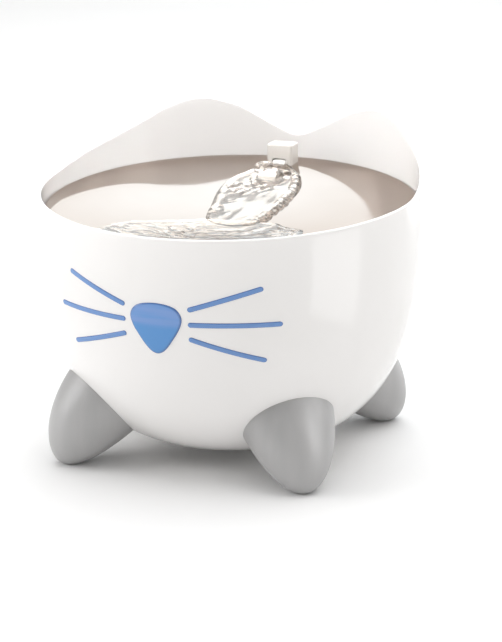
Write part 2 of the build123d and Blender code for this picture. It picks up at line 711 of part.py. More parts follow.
house_in_round = HOUSE_ROUND - HOUSE_T
house_outer = block(HOUSE_X, HOUSE_Y0, HOUSE_Y1, HOUSE_Z0, HOUSE_Z1, HOUSE_ROUND)
house_inner = block(
    HOUSE_X - HOUSE_T, HOUSE_Y0 + HOUSE_T, HOUSE_Y1 - HOUSE_T,
    HOUSE_Z0 + HOUSE_T, HOUSE_Z1 + PAST, house_in_round,
)
pump_mid_y = (SHELL_Y0 + SHELL_Y1) / 2
with BuildPart() as pump_housing:
    add(house_outer)
    add(house_inner, mode=Mode.SUBTRACT)
    # the filter slides in through the front wall
    with BuildSketch(Plane.XZ.offset(-HOUSE_Y0 - HOUSE_T - PAST)):
        with Locations((0, FILTER_MID)):
            Rectangle(2 * (FILTER_X + SLOT_GAP), FILTER_Z1 - FILTER_Z0 + 2 * SLOT_GAP)
    extrude(amount=HOUSE_T + 2 * PAST, mode=Mode.SUBTRACT)
    # rails behind the filter keep it square to the pump
    with BuildSketch(Plane.XY.offset(HOUSE_Z0)):
        with Locations((RAIL_X, RAIL_Y), (-RAIL_X, RAIL_Y)):
            Rectangle(RAIL_W, RAIL_T)
    extrude(amount=HOUSE_Z1 - HOUSE_Z0 - RAIL_SHORT)
    # two bars in the floor carry the pump
    with BuildSketch(Plane.XY.offset(HOUSE_Z0 + HOUSE_T / 2)):
        with Locations((BAR_X, pump_mid_y), (-BAR_X, pump_mid_y)):
            Rectangle(BAR_W, BAR_L)
    extrude(amount=PUMP_Z0 - HOLE_GAP - HOUSE_Z0 - HOUSE_T / 2)
    # water slots low in the side walls
    with BuildSketch(Plane.YZ):
        with GridLocations(SIDE_SLOT_STEP, 1, SIDE_SLOTS, 1):
            with Locations((SIDE_SLOT_Y, HOUSE_Z0 + SIDE_SLOT_RISE)):
                SlotOverall(SIDE_SLOT_L, SLOT_W, rotation=90)
    extrude(amount=HOUSE_X + PAST, both=True, mode=Mode.SUBTRACT)
    # cable notch at the top of the back wall
    with BuildSketch(Plane.XZ.offset(-HOUSE_Y1 - PAST)):
        with Locations((0, HOUSE_Z1 + PAST - NOTCH_H / 2)):
            Rectangle(NOTCH_W, NOTCH_H)
    extrude(amount=HOUSE_T + 2 * PAST, mode=Mode.SUBTRACT)
    # sockets for the suction cups
    with BuildSketch(Plane.XY.offset(HOUSE_Z0 - PAST)):
        with Locations(*CUP_SPOTS):
            Circle(CUP_STEM + HOLE_GAP)
    extrude(amount=HOUSE_T + 2 * PAST, mode=Mode.SUBTRACT)
save(pump_housing.part, "pump_housing")

lip_x = HOUSE_X - HOUSE_T - LID_FIT
lip_y0 = RAIL_Y + RAIL_T
lip_y1 = HOUSE_Y1 - HOUSE_T - LID_FIT
lip_z0 = HOUSE_Z1 - LID_LIP_H
lid_z = HOUSE_Z1 + HOLE_GAP
lid_lip = block(lip_x, lip_y0, lip_y1, lip_z0, lid_z + LID_T / 2, house_in_round)
lid_lip_inner = block(
    lip_x - LID_LIP_T, lip_y0 + LID_LIP_T, lip_y1 - LID_LIP_T, lip_z0 - PAST, lid_z, house_in_round - LID_LIP_T
)
with BuildPart() as housing_lid:
    with BuildSketch(Plane.XY.offset(lid_z)):
        with Locations((0, (HOUSE_Y0 + HOUSE_Y1) / 2)):
            RectangleRounded(2 * HOUSE_X, HOUSE_Y1 - HOUSE_Y0, HOUSE_ROUND)
    extrude(amount=LID_T)
    fillet(housing_lid.faces().sort_by(Axis.Z)[-1].edges(), radius=LID_ROUND)
    add(lid_lip)
    add(lid_lip_inner, mode=Mode.SUBTRACT)
    # small pod for the level light, facing the nose
    with BuildSketch(Plane.XY.offset(lid_z + LID_T / 2)):
        with Locations((0, POD_Y)):
            RectangleRounded(POD_W, POD_D, POD_ROUND)
    extrude(amount=LID_T / 2 + POD_H)
    fillet(housing_lid.faces().sort_by(Axis.Z)[-1].edges(), radius=POD_TOP_ROUND)
    with BuildSketch(Plane.XZ.offset(-POD_Y)):
        with Locations((0, LAMP_Z)):
            Circle(LAMP_R + HOLE_GAP)
    extrude(amount=POD_D, mode=Mode.SUBTRACT)
    # hole for the pump's outlet, and vents that let trapped air out
    with BuildSketch(Plane.XY.offset(lid_z - PAST)):
        with Locations((0, STUB_Y)):
            Circle(STEM_R + STUB_ROOM)
        with Locations(*[(side * x, VENT_Y) for x in VENT_X for side in (-1, 1)]):
            SlotOverall(VENT_L, SLOT_W, rotation=90)
    extrude(amount=LID_T + 2 * PAST, mode=Mode.SUBTRACT)
save(housing_lid.part, "housing_lid")

with BuildPart() as level_light:
    with BuildSketch(Plane.XZ.offset(-POD_Y)):
        with Locations((0, LAMP_Z)):
            Circle(LAMP_R)
    extrude(amount=LAMP_L)
    fillet(level_light.faces().sort_by(Axis.Y)[0].edges(), radius=LAMP_ROUND)
save(level_light.part, "level_light")

collar_r = CUP_STEM + CUP_SHOULDER
head_z = HOUSE_Z0 + HOUSE_T + CUP_HEAD
with BuildPart() as suction_cups:
    for cx, cy in CUP_SPOTS:
        with BuildSketch(Plane((cx, cy, 0), x_dir=(1, 0, 0), z_dir=(0, -1, 0))):
            with BuildLine():
                Polyline(
                    (0, FLOOR_Z + CUP_DOME), (CUP_R - CUP_LAND, FLOOR_Z + 1.5 * HOLE_GAP),
                    (CUP_R, FLOOR_Z + HOLE_GAP), (CUP_R, FLOOR_Z + CUP_EDGE),
                    (collar_r, HOUSE_Z0 - CUP_COLLAR), (collar_r, HOUSE_Z0 - HOLE_GAP),
                    (CUP_STEM, HOUSE_Z0 - HOLE_GAP), (CUP_STEM, HOUSE_Z0 + HOUSE_T),
                    (CUP_STEM - CUP_TAPER, head_z), (0, head_z), close=True,
                )
            make_face()
        revolve(axis=Axis((cx, cy, 0), (0, 0, 1)))
save(suction_cups.part, "suction_cups")

# ================================================================ filter cartridge
filter_h = FILTER_Z1 - FILTER_Z0
with BuildPart() as filter_frame:
    with BuildSketch(Plane.XZ.offset(-FILTER_Y1)):
        with Locations((0, FILTER_MID)):
            RectangleRounded(2 * FILTER_X, filter_h, FILTER_ROUND)
    extrude(amount=FILTER_D)
    with BuildSketch(Plane.XZ.offset(-FILTER_Y1 + FILTER_T)):
        with Locations((0, FILTER_MID)):
            Rectangle(2 * (FILTER_X - FILTER_T), filter_h - 2 * FILTER_T)
    extrude(amount=FILTER_D - 2 * FILTER_T, mode=Mode.SUBTRACT)
    # grille windows, front and back
    with BuildSketch(Plane.XZ.offset(-FILTER_Y1 - PAST)):
        with Locations((0, FILTER_MID)):
            with GridLocations(WINDOW_W + WINDOW_BAR, WINDOW_H + WINDOW_RAIL, *WINDOWS):
                RectangleRounded(WINDOW_W, WINDOW_H, WINDOW_ROUND)
    extrude(amount=FILTER_D + 2 * PAST, mode=Mode.SUBTRACT)
    # pull tab
    with BuildSketch(Plane.XY.offset(FILTER_MID + TAB_RISE)):
        with Locations((0, FILTER_Y0 - TAB_OUT)):
            RectangleRounded(TAB_W, TAB_D, TAB_ROUND)
    extrude(amount=TAB_T)
save(filter_frame.part, "filter_frame")

pad_x = FILTER_X - FILTER_T - PAD_GAP
pad_z0 = FILTER_Z0 + FILTER_T + PAD_GAP
pad_h = filter_h - 2 * (FILTER_T + PAD_GAP)
with BuildPart() as filter_foam:
    with BuildSketch(Plane.XY.offset(pad_z0)):
        with Locations((0, FILTER_Y0 + FILTER_T + HOLE_GAP + FOAM_T / 2)):
            Rectangle(2 * pad_x, FOAM_T)
    extrude(amount=pad_h)
    fillet(filter_foam.edges(), radius=FOAM_ROUND)
save(filter_foam.part, "filter_foam")

with BuildPart() as filter_carbon:
    with BuildSketch(Plane.XY.offset(pad_z0)):
        with Locations((0, FILTER_Y1 - FILTER_T - HOLE_GAP - CARBON_T / 2)):
            Rectangle(2 * pad_x, CARBON_T)
    extrude(amount=pad_h)
    fillet(filter_carbon.edges(), radius=CARBON_ROUND)
save(filter_carbon.part, "filter_carbon")

# ================================================================ pump
well_out = WELL_R + WELL_WALL
cavity_x = PUMP_X - PUMP_WALL_X
cavity_z0, cavity_z1 = PUMP_Z0 + PUMP_WALL_Z, PUMP_Z1 - PUMP_WALL_Z
cavity = block(cavity_x, SHELL_Y0 + SHELL_FRONT, SHELL_Y1 + PAST, cavity_z0, cavity_z1, 0)
motor_cavity = cavity - along_y(well_out, WELL_START, WELL_END + WELL_WALL)
shell_block = block(PUMP_X, SHELL_Y0, SHELL_Y1, PUMP_Z0, PUMP_Z1, PUMP_ROUND)
with BuildPart() as pump_shell:
    add(shell_block)
    add(motor_cavity, mode=Mode.SUBTRACT)
    add(along_y(WELL_R, SHELL_Y0 - PAST, WELL_END), mode=Mode.SUBTRACT)
save(pump_shell.part, "pump_shell")

with BuildPart() as stator_core:
    with BuildSketch(Plane.XZ.offset(-CORE_Y1)):
        with Locations((0, (CORE_Z0 + YOKE_Z1) / 2)):
            Rectangle(CORE_W, YOKE_Z1 - CORE_Z0)
        with Locations((0, PUMP_AXIS_Z)):
            Circle(well_out + CORE_GAP, mode=Mode.SUBTRACT)
        # window that the winding passes through, and the split below the well
        with Locations((0, (CORE_WINDOW_Z + YOKE_Z0) / 2)):
            Rectangle(CORE_WINDOW_W, YOKE_Z0 - CORE_WINDOW_Z, mode=Mode.SUBTRACT)
        with Locations((0, CORE_Z0)):
            Rectangle(CORE_SPLIT_W, 2 * (PUMP_AXIS_Z - well_out - CORE_Z0 + PAST), mode=Mode.SUBTRACT)
    extrude(amount=CORE_T)
save(stator_core.part, "stator_core")

with BuildPart() as winding:
    with BuildSketch(Plane.YZ.offset(-COIL_L / 2)):
        with Locations(((CORE_Y0 + CORE_Y1) / 2, (YOKE_Z0 + YOKE_Z1) / 2)):
            RectangleRounded(
                CORE_T + 2 * (COIL_GAP + COIL_T), YOKE_Z1 - YOKE_Z0 + 2 * (COIL_GAP + COIL_T_Z), COIL_ROUND
            )
            Rectangle(CORE_T + 2 * COIL_GAP, YOKE_Z1 - YOKE_Z0 + 2 * COIL_GAP, mode=Mode.SUBTRACT)
    extrude(amount=COIL_L)
save(winding.part, "winding")

resin_block = block(
    cavity_x - RESIN_GAP, RESIN_Y0, SHELL_Y1 - RESIN_SHORT, cavity_z0 + RESIN_GAP, cavity_z1 - RESIN_GAP, 0
)
resin_hollow = along_y(well_out + RESIN_GAP, RESIN_Y0 - PAST, WELL_END + WELL_WALL + RESIN_GAP)
gland_y0 = SHELL_Y1 - GLAND_IN
with BuildPart() as sealing_resin:
    add(resin_block)
    add(resin_hollow, mode=Mode.SUBTRACT)
    add(along_y(GLAND_R + HOLE_GAP, gland_y0 - RESIN_GAP, SHELL_Y1 + PAST, z=GLAND_Z), mode=Mode.SUBTRACT)
save(sealing_resin.part, "sealing_resin")

with BuildPart() as cable_gland:
    add(along_y(GLAND_R, gland_y0, SHELL_Y1 + GLAND_OUT, z=GLAND_Z))
    fillet(cable_gland.faces().sort_by(Axis.Y)[-1].edges(), radius=GLAND_ROUND)
    add(
        along_y(CABLE_BORE, SHELL_Y1 - GLAND_BORE_IN, SHELL_Y1 + GLAND_OUT + PAST, z=GLAND_Z),
        mode=Mode.SUBTRACT,
    )
save(cable_gland.part, "cable_gland")

cover_y1 = SHELL_Y0 - COVER_GAP
cover_block = block(PUMP_X, COVER_Y0, cover_y1, PUMP_Z0, PUMP_Z1, PUMP_ROUND)
with BuildPart() as volute_cover:
    add(cover_block)
    with BuildSketch(Plane.XY.offset(PUMP_Z1 - PAST)):
        with Locations((0, STUB_Y)):
            Circle(STEM_R)
    extrude(amount=STUB_TOP - PUMP_Z1 + PAST)
    add(along_y(CHAMBER_R, COVER_Y0 + COVER_FRONT, cover_y1 + PAST), mode=Mode.SUBTRACT)
    with BuildSketch(Plane.XY.offset(PUMP_AXIS_Z)):
        with Locations((0, STUB_Y)):
            Circle(STEM_BORE)
    extrude(amount=STUB_TOP, mode=Mode.SUBTRACT)
    # intake eye, with three spokes that hold the front bush
    with BuildSketch(Plane.XZ.offset(-COVER_Y0 - COVER_FRONT - PAST)):
        with Locations((0, PUMP_AXIS_Z)):
            Circle(EYE_R)
            Circle(EYE_HUB, mode=Mode.SUBTRACT)
            with PolarLocations(SPOKE_R, 3):
                Rectangle(SPOKE_L, SPOKE_W, mode=Mode.SUBTRACT)
    extrude(amount=COVER_FRONT + 2 * PAST, mode=Mode.SUBTRACT)
    add(along_y(BUSH_R + BUSH_GAP, BUSH_Y0 - HOLE_GAP, BUSH_Y1 + HOLE_GAP), mode=Mode.SUBTRACT)
    # seat for the sealing ring
    with BuildSketch(Plane.XZ.offset(-cover_y1)):
        with Locations((0, PUMP_AXIS_Z)):
            Circle(SEAL_OUT + HOLE_GAP)
            Circle(SEAL_IN - HOLE_GAP, mode=Mode.SUBTRACT)
    extrude(amount=SEAL_T + HOLE_GAP, mode=Mode.SUBTRACT)
save(volute_cover.part, "volute_cover")

with BuildPart() as cover_seal:
    with BuildSketch(Plane.XZ.offset(-cover_y1)):
        with Locations((0, PUMP_AXIS_Z)):
            Circle(SEAL_OUT)
            Circle(SEAL_IN, mode=Mode.SUBTRACT)
    extrude(amount=SEAL_T)
save(cover_seal.part, "cover_seal")

with BuildPart() as intake_strainer:
    with BuildSketch(Plane.XZ.offset(-COVER_Y0 + COVER_GAP)):
        with Locations((0, PUMP_AXIS_Z)):
            RectangleRounded(STRAINER_W, STRAINER_H, STRAINER_ROUND)
    extrude(amount=STRAINER_D)
    fillet(intake_strainer.faces().sort_by(Axis.Y)[0].edges(), radius=STRAINER_EDGE)
    with BuildSketch(Plane.XZ.offset(-COVER_Y0 - PAST)):
        with Locations((0, PUMP_AXIS_Z)):
            RectangleRounded(
                STRAINER_W - 2 * STRAINER_T, STRAINER_H - 2 * STRAINER_T, STRAINER_ROUND - STRAINER_T
            )
    extrude(amount=STRAINER_D - STRAINER_T + COVER_GAP + PAST, mode=Mode.SUBTRACT)
    with BuildSketch(Plane.XZ.offset(-COVER_Y0)):
        with Locations((0, PUMP_AXIS_Z)):
            with GridLocations(STRAINER_STEP, 1, STRAINER_SLOTS, 1):
                SlotOverall(STRAINER_SLOT_L, STRAINER_SLOT_W, rotation=90)
    extrude(amount=STRAINER_D + COVER_GAP + PAST, mode=Mode.SUBTRACT)
save(intake_strainer.part, "intake_strainer")

# ================================================================ rotor
with BuildPart() as rotor_magnet:
    add(along_y(ROTOR_R, MAGNET_Y0, MAGNET_Y1))
    fillet(rotor_magnet.edges(), radius=MAGNET_ROUND)
    add(along_y(MAGNET_BORE, MAGNET_Y0 - PAST, MAGNET_Y1 + PAST), mode=Mode.SUBTRACT)
save(rotor_magnet.part, "rotor_magnet")

with BuildPart() as impeller:
    add(along_y(HUB_R, HUB_Y0, MAGNET_Y1 - HUB_SHORT))
    add(along_y(WHEEL_R, WHEEL_Y0, WHEEL_Y0 + WHEEL_T))
    with BuildSketch(Plane.XZ.offset(-WHEEL_Y0 - HOLE_GAP)):
        with Locations((0, PUMP_AXIS_Z)):
            with PolarLocations(BLADE_R, BLADES):
                Rectangle(BLADE_L, BLADE_T)
    extrude(amount=WHEEL_Y0 + HOLE_GAP - BLADE_Y0)
    add(along_y(SHAFT_R + SHAFT_FIT, HUB_Y0 - PAST, MAGNET_Y1 + PAST), mode=Mode.SUBTRACT)
save(impeller.part, "impeller")

with BuildPart() as ceramic_shaft:
    add(along_y(SHAFT_R, SHAFT_Y0, SHAFT_Y1))
    chamfer(ceramic_shaft.edges(), length=SHAFT_EDGE)
save(ceramic_shaft.part, "ceramic_shaft")

with BuildPart() as front_bush:
    add(along_y(BUSH_R, BUSH_Y0, BUSH_Y1))
    add(along_y(SHAFT_R + SHAFT_SEAT, BUSH_Y0 + BUSH_BASE, BUSH_Y1 + PAST), mode=Mode.SUBTRACT)
save(front_bush.part, "front_bush")

rear_bush_y1 = WELL_END - HOLE_GAP
with BuildPart() as rear_bush:
    add(along_y(WELL_R - BUSH_GAP, rear_bush_y1 - REAR_BUSH_T, rear_bush_y1))
    add(
        along_y(SHAFT_R + SHAFT_SEAT, rear_bush_y1 - REAR_BUSH_T - PAST, rear_bush_y1 - REAR_BUSH_BASE),
        mode=Mode.SUBTRACT,
    )
save(rear_bush.part, "rear_bush")

# ================================================================ riser tube
bend_z0 = STUB_TOP + TUBE_GRIP
bend_z1 = STEM_BOTTOM - TUBE_LEAD
with BuildPart() as riser_tube:
    with BuildLine():
        Line((0, STUB_Y, TUBE_BOTTOM), (0, STUB_Y, bend_z0))
        Spline(
            (0, STUB_Y, bend_z0), (0, SPOUT_Y, bend_z1),
            tangents=[(0, 0, 1), (0, 0, 1)], tangent_scalars=[TUBE_SWEEP, TUBE_SWEEP],
        )
        Line((0, SPOUT_Y, bend_z1), (0, SPOUT_Y, TUBE_TOP))
    with BuildSketch(Plane.XY.offset(TUBE_BOTTOM)):
        with Locations((0, STUB_Y)):
            Circle(STEM_R + TUBE_FIT + TUBE_WALL)
            Circle(STEM_R + TUBE_FIT, mode=Mode.SUBTRACT)
    sweep()
save(riser_tube.part, "riser_tube")

# ================================================================ water
water_layer = dish_slab(-FILM, STREAM_T)
above_pool = Solid.make_box(2 * BOWL_R, 2 * BOWL_R, CUT_HEIGHT, Plane((-BOWL_R, -BOWL_R, POOL_Z + FILM)))
bubble_ball = (BUBBLE_R**2 + BUBBLE_RISE**2) / (2 * BUBBLE_RISE)
bubble_z = dish_z(BUBBLE_X, BUBBLE_Y) + STREAM_T / 2 + BUBBLE_RISE - bubble_ball
bubble = Solid.make_sphere(bubble_ball, Plane((BUBBLE_X, BUBBLE_Y, bubble_z)), angle1=-90, angle2=90)
bubble = bubble - dish_slab(CUT_BELOW, STREAM_T / 2)

with BuildPart() as water_stream:
    with BuildSketch(Plane.XY.offset(CUT_Z)):
        with BuildLine():
            Spline(*STREAM_OUTLINE)
            Line(STREAM_OUTLINE[-1], STREAM_OUTLINE[0])
        make_face()
    extrude(amount=CUT_HEIGHT)
    add(water_layer, mode=Mode.INTERSECT)
    add(above_pool, mode=Mode.INTERSECT)
    add(bubble)
save(water_stream.part, "water_stream")

pool_space = upright(DISH_R - POOL_EDGE, DISH_AXIS_Z - DISH_LIP, POOL_Z) - dish_slab(CUT_BELOW, FILM)
with BuildPart() as water_pool:
    add(pool_space)
    add(spill_cutter, mode=Mode.SUBTRACT)
save(water_pool.part, "water_pool")
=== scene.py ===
"""Looks of a cat-shaped pet water fountain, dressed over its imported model.

Blender works in metres; the sizes below are millimetres, and every mesh is scaled by MM as it is made.
+Z is up, the cat's nose faces -Y and the bowl's axis is Z.
"""
import json
import math

import bmesh
import bpy
import numpy as np
from mathutils import Matrix, Vector, noise

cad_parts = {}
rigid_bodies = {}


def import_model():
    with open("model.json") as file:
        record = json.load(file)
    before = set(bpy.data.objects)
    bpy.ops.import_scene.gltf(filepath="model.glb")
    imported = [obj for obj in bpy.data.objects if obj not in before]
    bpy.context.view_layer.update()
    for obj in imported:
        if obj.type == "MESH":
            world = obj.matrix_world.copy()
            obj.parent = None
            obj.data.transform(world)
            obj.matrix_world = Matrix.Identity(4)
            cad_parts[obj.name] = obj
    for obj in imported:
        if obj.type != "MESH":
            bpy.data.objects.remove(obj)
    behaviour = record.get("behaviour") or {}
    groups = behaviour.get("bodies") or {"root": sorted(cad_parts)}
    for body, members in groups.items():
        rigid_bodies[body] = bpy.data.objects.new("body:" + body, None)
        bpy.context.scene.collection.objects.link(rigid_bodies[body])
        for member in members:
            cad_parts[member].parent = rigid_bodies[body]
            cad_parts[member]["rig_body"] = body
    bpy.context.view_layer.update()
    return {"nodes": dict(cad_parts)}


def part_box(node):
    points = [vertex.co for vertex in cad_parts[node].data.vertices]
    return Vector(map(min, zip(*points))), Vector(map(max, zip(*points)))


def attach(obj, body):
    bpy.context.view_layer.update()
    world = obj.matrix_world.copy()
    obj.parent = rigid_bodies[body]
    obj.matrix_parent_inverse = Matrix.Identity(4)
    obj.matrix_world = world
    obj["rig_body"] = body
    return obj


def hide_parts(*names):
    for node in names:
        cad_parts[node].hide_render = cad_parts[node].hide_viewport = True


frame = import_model()

MM = 0.001
SHARP = math.radians(50)  # edges that turn by more than this stay sharp
ROUNDED = math.radians(40)  # edges of boxy pieces that turn by more than this are rounded
STILL_SHARP = math.radians(35)  # and what turns by more than this after that stays sharp

# -------- bowl
BOWL_LOW, BOWL_HIGH = (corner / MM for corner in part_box("bowl"))
BOWL_R = BOWL_HIGH.x
WALL = 2.5
BASE_Z = BOWL_LOW.z
BELLY_TOP = 153.3  # the upright wall starts here, level with the rim at the nose
BELLY_BOTTOM = 4.75
BELLY_P = 2.865  # belly curve: exponent of the height
BELLY_Q = 2.796  # belly curve: exponent of the radius
TOP_EDGE = (  # angle from the centre of the back, height of the edge
    (0.0, 169.2), (9.3, 176.2), (20.0, 187.0), (31.5, 191.9), (42.7, 187.0),
    (50.0, 180.7), (60.0, 173.4), (71.0, 167.6), (81.0, 163.0), (91.0, 159.5),
    (106.0, 157.9), (130.0, 155.6), (155.0, 153.9), (180.0, 153.3),
)
LIP_ROUND = 1.0
CABLE_HOLE = 5.0  # radius
CABLE_Z = 118.0

# -------- face
NOSE_HALF = (  # right half of the nose, seen from the front
    (0.0, 115.8), (8.7, 114.7), (13.6, 111.9), (15.7, 107.2), (14.2, 101.4),
    (10.3, 94.9), (6.3, 89.3), (3.1, 86.3), (0.0, 85.3),
)
NOSE_CENTRE = (0.0, 104.0)
WHISKERS = (  # inner end x, z, outer end x, z, on the right side
    (20.6, 113.2, 57.9, 125.4), (20.6, 104.1, 66.6, 104.3), (20.6, 95.2, 57.8, 82.9),
)
WHISKER_W = 3.0
INLAY_DEPTH = 1.2  # how far the inlays go into the wall
NOSE_CROWN = (0.9, 0.1)  # how far it stands out, and the rounded share of the way to its outline
WHISKER_CROWN = (0.55, 0.6)
PAINTED_HIGHLIGHT_FROM, PAINTED_HIGHLIGHT_FULL = 100.0, 106.0  # heights between which the painted highlight fades in: the nose is coloured lighter above them

# -------- feet
FOOT_R = 107.5  # distance of the foot's tip from the axis
FOOT_TIP_Z = 6.1
FOOT_LEAN = math.radians(34.15)  # of its axis, from upright
FOOT_CURVE = -0.00238  # how its axis bends
FOOT_LENGTH = 90.0
FOOT_WIDE = 31.6  # half its width
FOOT_DEEP = 29.8  # half its depth
FOOT_N = 2.35  # foot curve: exponent of the length
FOOT_M = 1.88  # foot curve: exponent of the width
FOOT_GAP = 0.1  # clearance to the bowl

# -------- dish
DISH_R = 111.7
DISH_AXIS = Vector((0.0, -20.3, 138.4))  # lowest point of the basin's upper face, before the tilt
DISH_TILT = 0.0752  # rise toward the back
DISH_SLOPES = (  # distance from the axis, slope
    (0, 0), (25, 0.076), (50, 0.125), (75, 0.127), (95, 0.077), (112, -0.053),
)
DISH_T = 0.8  # thickness of the steel
DISH_LIP = 4.0  # how far its edge is turned down
DISH_BEND = 1.2  # radius of the turned edge
SPILL_Y = -108.2  # the straight edge above the nose
STEM_HOLE = 5.5  # radius
SPOUT_Y = 87.7
RIB_ANGLES = (35.0, -35.0, 90.0, -90.0, 150.0, -150.0)
RIB_SIZE = (5.2, 3.0, 8.0)  # outward, along the wall, upright
RIB_SUNK = 0.6  # how far a rib goes into the wall
RIB_CLEAR = 0.2  # room between a rib and the dish's turned-down edge

# -------- water
POOL_LEVEL = 140.5
POOL_CENTRE = (0.0, -58.0)
POOL_ENTRY = Vector((8.0, -16.0))  # where the stream runs in
POOL_WAVE = (0.4, 11.0, 30.0)  # height, length and reach of the waves from there
POOL_FILM = 0.7  # thinnest water, near the shore
POOL_BLEND = 0.6  # how gently the film turns into deeper water
POOL_INSET = 0.4  # distance from the spill edge
POOL_BEAD = (0.7, 0.95, 0.04)  # the shore's bead: height, and place and width as shares of the way out
POOL_SHORE = (
    (-60, -60), (-57, -48), (-50, -36), (-40, -28), (-30, -21), (-20, -16), (-9, -9.5), (28.6, -8.6),
    (41, -17), (53, -24), (57, -29), (60, -45), (58, -70), (45, -95), (27, -107), (-27, -107),
    (-45, -95), (-58, -75),
)
STREAM_LEFT = (  # y, x of the running water's left edge, front to back
    (-20.0, -1.0), (-16.0, -7.0), (-9.0, -12.5), (8.0, -17.0), (26.0, -21.0), (43.0, -22.6), (57.0, -20.0),
    (70.0, -12.5), (82.0, -5.0),
)
STREAM_RIGHT = (
    (-20.0, 10.0), (-16.0, 19.0), (-9.0, 23.5), (10.0, 26.0), (28.0, 28.3), (43.0, 28.2), (58.0, 24.0),
    (70.0, 16.5), (82.0, 5.0),
)
STREAM_FRONT, STREAM_BACK = STREAM_LEFT[0][0], STREAM_LEFT[-1][0]
STREAM_FILM = 1.3
STREAM_VOXEL = 0.55  # grain of the skin round the stream, its heap and its beads
RIM_AT, RIM_WIDE = 0.84, 0.12  # the thick rims, as shares of the stream's half width
RIM_LEFT, RIM_RIGHT = 0.9, 2.0  # how far they stand up
DOME = Vector((3.2, 57.8))  # where the water from the spout lands and domes up
DOME_R = 8.3
DOME_RISE = 5.2
COLLAR_RISE, COLLAR_OUT, COLLAR_WIDE = 1.2, 2.2, 1.6  # the ring of water round the dome
BUBBLE = Vector((12.4, 61.7))  # beside the dome
BUBBLE_R = 3.2
CALM = Vector((8.0, 24.0))  # middle of the stream's smooth stretch
CALM_R = 15.0
CALM_LONG = 2.2  # its length over its width
CHOP = ((-10.0, 38.0, 9.0), (-13.0, 4.0, 6.0), (4.0, 45.0, 7.0))  # rough spots: x, y, reach
CHOP_RISE, CHOP_SWING = 1.2, 2.4
JET_Y = (88.0, 78.0)  # aerated water in the spout's mouth
JET_Z = 156.9
JET_HALF = Vector((4.7, 2.25))
LOBE = Vector((-5.0, 70.5, 156.0))  # the heap of water between the spout's mouth and the dome
LOBE_SIZE = Vector((7.2, 5.0, 3.7))
BEADS = 30  # drops along the stream's right rim
BEAD_Y = (62.0, -6.0)  # where the first and the last bead are
BEAD_R = 2.3
BEAD_RISE = 1.3  # height of a bead's middle above the steel
WATER_SEAT = 0.3  # the water's underside lies this far inside the steel


# ======== small tools
def add_node(tree, kind, settings=(), inputs=()):
    """Adds a node; an input is a plain value, or the output socket that feeds it."""
    made = tree.nodes.new(kind)
    for key, value in dict(settings).items():
        setattr(made, key, value)
    for key, value in dict(inputs).items():
        if isinstance(value, bpy.types.NodeSocket):
            tree.links.new(value, made.inputs[key])
        else:
            made.inputs[key].default_value = value
    return made


def linear(hex_colour):
    """Linear RGBA of an sRGB hex colour."""
    parts = [int(hex_colour[i:i + 2], 16) / 255 for i in (0, 2, 4)]
    return [c / 12.92 if c <= 0.04045 else ((c + 0.055) / 1.055) ** 2.4 for c in parts] + [1.0]


def per_metre(size_mm):
    """Texture scale that makes a pattern's features about this large."""
    return 1 / (size_mm * MM)


def sized(place, size_mm, **more):
    """Inputs of a texture at a place, with features about this large, and what else it takes."""
    return {"Vector": place, "Scale": per_metre(size_mm), **more}


def put_in_scene(name, data):
    """Object that shows the data, linked into the scene."""
    made = bpy.data.objects.new(name, data)
    bpy.context.scene.collection.objects.link(made)
    return made


def piece_from(name, points, faces, material, edge=()):
    """Smooth-shaded mesh from points in millimetres, with doubles merged and faces turned outward.

    edge, where given, is how near each point is to the piece's outline, from 0 to 1, for the painted shade
    along the outline in its material.
    """
    mesh = bpy.data.meshes.new(name)
    mesh.from_pydata([Vector(p) * MM for p in points], [], faces)
    if edge:
        mesh.attributes.new("edge", "FLOAT", "POINT").data.foreach_set("value", edge)
    work = bmesh.new()
    work.from_mesh(mesh)
    bmesh.ops.remove_doubles(work, verts=work.verts, dist=1e-7)
    bmesh.ops.dissolve_degenerate(work, edges=work.edges, dist=1e-8)
    bmesh.ops.recalc_face_normals(work, faces=work.faces)
    for face in work.faces:
        face.smooth = True
    work.to_mesh(mesh)
    work.free()
    mesh.materials.append(material)
    return put_in_scene(name, mesh)


def around(count):
    """Evenly spaced angles of a full turn."""
    return [math.tau * i / count for i in range(count)]


def skin(rings):
    """Points and faces of a closed surface over rings of equally many points, its ends closed by fans."""
    count = len(rings[0])
    points = [p for ring in rings for p in ring]
    faces = []
    for i in range(len(rings) - 1):
        for j in range(count):
            k = (j + 1) % count
            faces.append((i * count + j, i * count + k, (i + 1) * count + k, (i + 1) * count + j))
    for ring, start in ((rings[0], 0), (rings[-1], (len(rings) - 1) * count)):
        hub = len(points)
        points.append(sum((Vector(p) for p in ring), Vector()) / count)
        faces += [(hub, start + j, start + (j + 1) % count) for j in range(count)]
    return points, faces


def applied(piece):
    """The piece with its modifiers turned into plain mesh."""
    graph = bpy.context.evaluated_depsgraph_get()
    mesh = bpy.data.meshes.new_from_object(piece.evaluated_get(graph))
    piece.modifiers.clear()
    piece.data = mesh
    return piece


def cut(piece, cutter):
    """Takes the cutter's shape out of a closed piece."""
    boolean = piece.modifiers.new("cut", "BOOLEAN")
    boolean.operation = "DIFFERENCE"
    boolean.solver = "EXACT"
    boolean.object = cutter
    applied(piece)
    bpy.data.objects.remove(cutter)
    piece.data.set_sharp_from_angle(angle=SHARP)


def soften_edges(piece, width_mm, segments):
    """Rounds a boxy piece's edges, unless the width is 0, and shades its curves smooth."""
    if width_mm:
        bevel = piece.modifiers.new("soft edges", "BEVEL")
        bevel.width = width_mm * MM
        bevel.segments = segments
        bevel.limit_method = "ANGLE"
        bevel.angle_limit = ROUNDED
        applied(piece)
    piece.data.shade_smooth()
    piece.data.set_sharp_from_angle(angle=STILL_SHARP)


